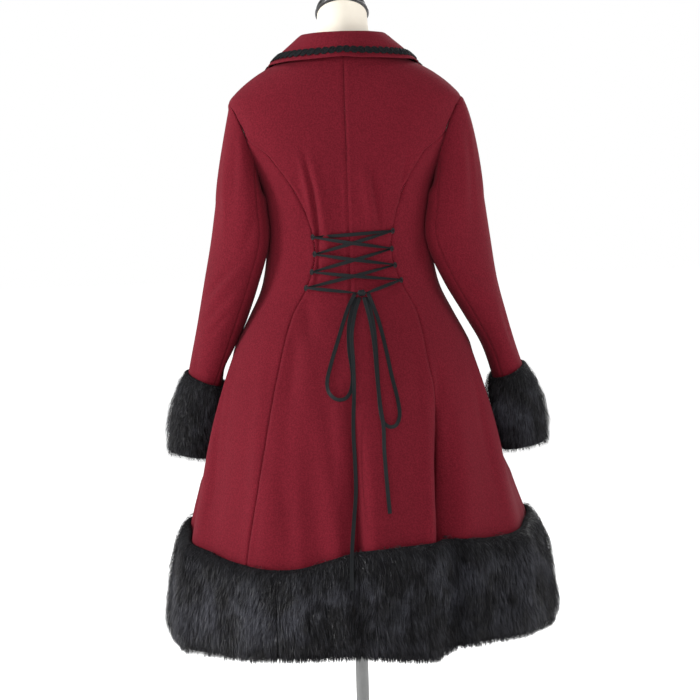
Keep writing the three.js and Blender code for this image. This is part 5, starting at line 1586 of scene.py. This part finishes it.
ring = np.arange(96) * 360 / 96
levels = np.concatenate([[800, 801.5, 803.5, 806, 811, 818], np.linspace(826, 1366, 60),
                         np.linspace(1370, 1410, 12)])
rows = []
for level in levels:
    x, y = oval(*form_section(level), ring)
    sink = 4 * smooth((level - 1390) / 20) * (1 - np.cos(np.radians(ring)))
    rows.append(np.stack([x, y, level - sink], -1))
rows.append(neck_top(ring, 1.0, 0.0))
crown = neck_top(0.0, 0.0, 0.0)
points, quads, caps = capped_rings(np.array(rows), [0, 0, levels[0]], crown, ends_in=True)
torso = mesh_piece("form_torso_cover", points, [quads, caps], form_cover, points[:, [0, 2]] * MM)
settle(torso, "form_cover", "form_torso")

# Share of the neck's width and height above its plane, from the cap's edge to its top
CAP_PROFILE = [
    (1.02, 0.4), (1.06, 0.6), (1.085, 1.6), (1.085, 3.4), (1.06, 4.6), (1.03, 5.4), (1.035, 7.0),
    (1.035, 9.5), (1.0, 12.5), (0.93, 16.0), (0.82, 19.2), (0.68, 22.0), (0.5, 24.6), (0.3, 26.4),
    (0.1, 27.3),
]
cap_rings = np.array([neck_top(ring, share, above) for share, above in CAP_PROFILE])
rim, crown = neck_top(0.0, 0.0, 0.4), neck_top(0.0, 0.0, 27.5)
points, quads, caps = capped_rings(cap_rings, rim, crown, ends_in=True)
neck_cap = mesh_piece("neck_cap_pewter", points, [quads, caps], pewter, points[:, :2] * MM)
settle(neck_cap, "neck_cap", "neck_cap")
print("form", tuple(torso.dimensions), "cap", tuple(neck_cap.dimensions))

# %% [markdown]
# The pole and the round foot keep their solids, since their shapes are already right, and take brushed
# steel. A finish is given to a solid by changing the material in its slot.

# %% Pole and foot
for name in ("pole", "stand_base"):
    solid = frame["nodes"][name]
    solid.data.materials.clear()
    solid.data.materials.append(brushed_steel)
    bevel = solid.modifiers.new("soft edges", "BEVEL")
    bevel.width = 0.0006
    bevel.segments = 2
    bevel.limit_method = "ANGLE"
print("kept solids: pole, stand_base")

# %% [markdown]
# The flat size that each piece of cloth is cut to is printed: its width, length and area. On the real
# coat a panel takes its shape from its seams and hangs from the one above it, so all rest on the form,
# and the fur bands are sewn to the panels.

# %% The cloth's flat sizes
for name, (piece, width, length, area) in {**panels, **sleeves}.items():
    area = min(round(area, 4), width * length)
    print(name, "flat", width, length, "area", area)
_, width, length, area = with_cut(collar, collar_outer)
area = min(round(area, 4), width * length)
print("collar flat", width, length, "area", area)

# %% [markdown]
# A plain pale floor and soft light. The key light is on the left of the picture and above the coat, as
# the photograph has it, and a weaker fill is on the right. One more stands behind the camera, one before
# the coat's front and one above it, so that every side is lit. The surroundings fill the shadows
# with a dim white, and the camera sees them as plain white.

# %% Floor and light
floor_size = 30000
floor_points = np.array([(-1, -1, 0), (1, -1, 0), (1, 1, 0), (-1, 1, 0)], float) * floor_size
pale_floor, tree, shader, place = finish_start(
    "pale_floor", Specular_IOR_Level=0.0, Emission_Color=(1, 1, 1, 1), Emission_Strength=0.74)
faint = put_group(tree, soft_mottle, place, Patch_per_metre=0.5, Contrast=1.0)
feed(tree, blend_colours(tree, faint.outputs["Mask"], (0.86, 0.86, 0.86), (0.90, 0.90, 0.90)),
     shader.inputs["Base Color"])
feed(tree, shaded_range(tree, faint.outputs["Mask"], 0.7, 0.8), shader.inputs["Roughness"])
floor = mesh_piece("floor", floor_points - np.array([0, 0, 0.5]), [np.array([[0, 1, 2, 3]])], pale_floor)
floor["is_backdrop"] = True


def soft_light(name, place, aim, size, power):
    data = bpy.data.lights.new(name, "AREA")
    data.shape = "DISK"
    data.size = size
    data.energy = power
    light = bpy.data.objects.new(name, data)
    bpy.context.scene.collection.objects.link(light)
    light.location = place
    light.rotation_euler = (Vector(aim) - Vector(place)).to_track_quat("-Z", "Y").to_euler()
    return light


soft_light("key", (4.7, 0.8, 2.3), (0, 0, 1.0), 1.4, 190)
soft_light("fill", (-4.6, 0.2, 1.5), (0, 0, 0.8), 1.6, 60)
soft_light("room", (0.9, 4.8, 2.7), (0, 0, 0.95), 2.4, 42)
soft_light("front", (-1.8, -3.6, 2.6), (0, 0, 1.0), 2.0, 75)
soft_light("top", (0.4, 0.2, 4.0), (0, 0, 1.0), 2.0, 34)
world = bpy.data.worlds.new("white room")
world.use_nodes = True
room = world.node_tree
surroundings = room.nodes["Background"]
surroundings.inputs["Color"].default_value = (1, 1, 1, 1)
surroundings.inputs["Strength"].default_value = 0.40
seen_white = add_node(room, "ShaderNodeBackground")
seen_white.inputs["Color"].default_value = (1, 1, 1, 1)
either = add_node(room, "ShaderNodeMixShader")
feed(room, add_node(room, "ShaderNodeLightPath").outputs["Is Camera Ray"], either.inputs[0])
feed(room, surroundings.outputs[0], either.inputs[1])
feed(room, seen_white.outputs[0], either.inputs[2])
feed(room, either.outputs[0], room.nodes["World Output"].inputs["Surface"])
bpy.context.scene.world = world
bpy.context.scene.view_settings.view_transform = "Standard"

# %% [markdown]
# The last cell counts the triangles that this lesson adds and prints the count.

# %% Count the triangles and finish
added = sum(sum(len(p.vertices) - 2 for p in o.data.polygons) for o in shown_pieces()
            if o.type == "MESH" and o.name not in frame["nodes"])
print("triangles added:", added)
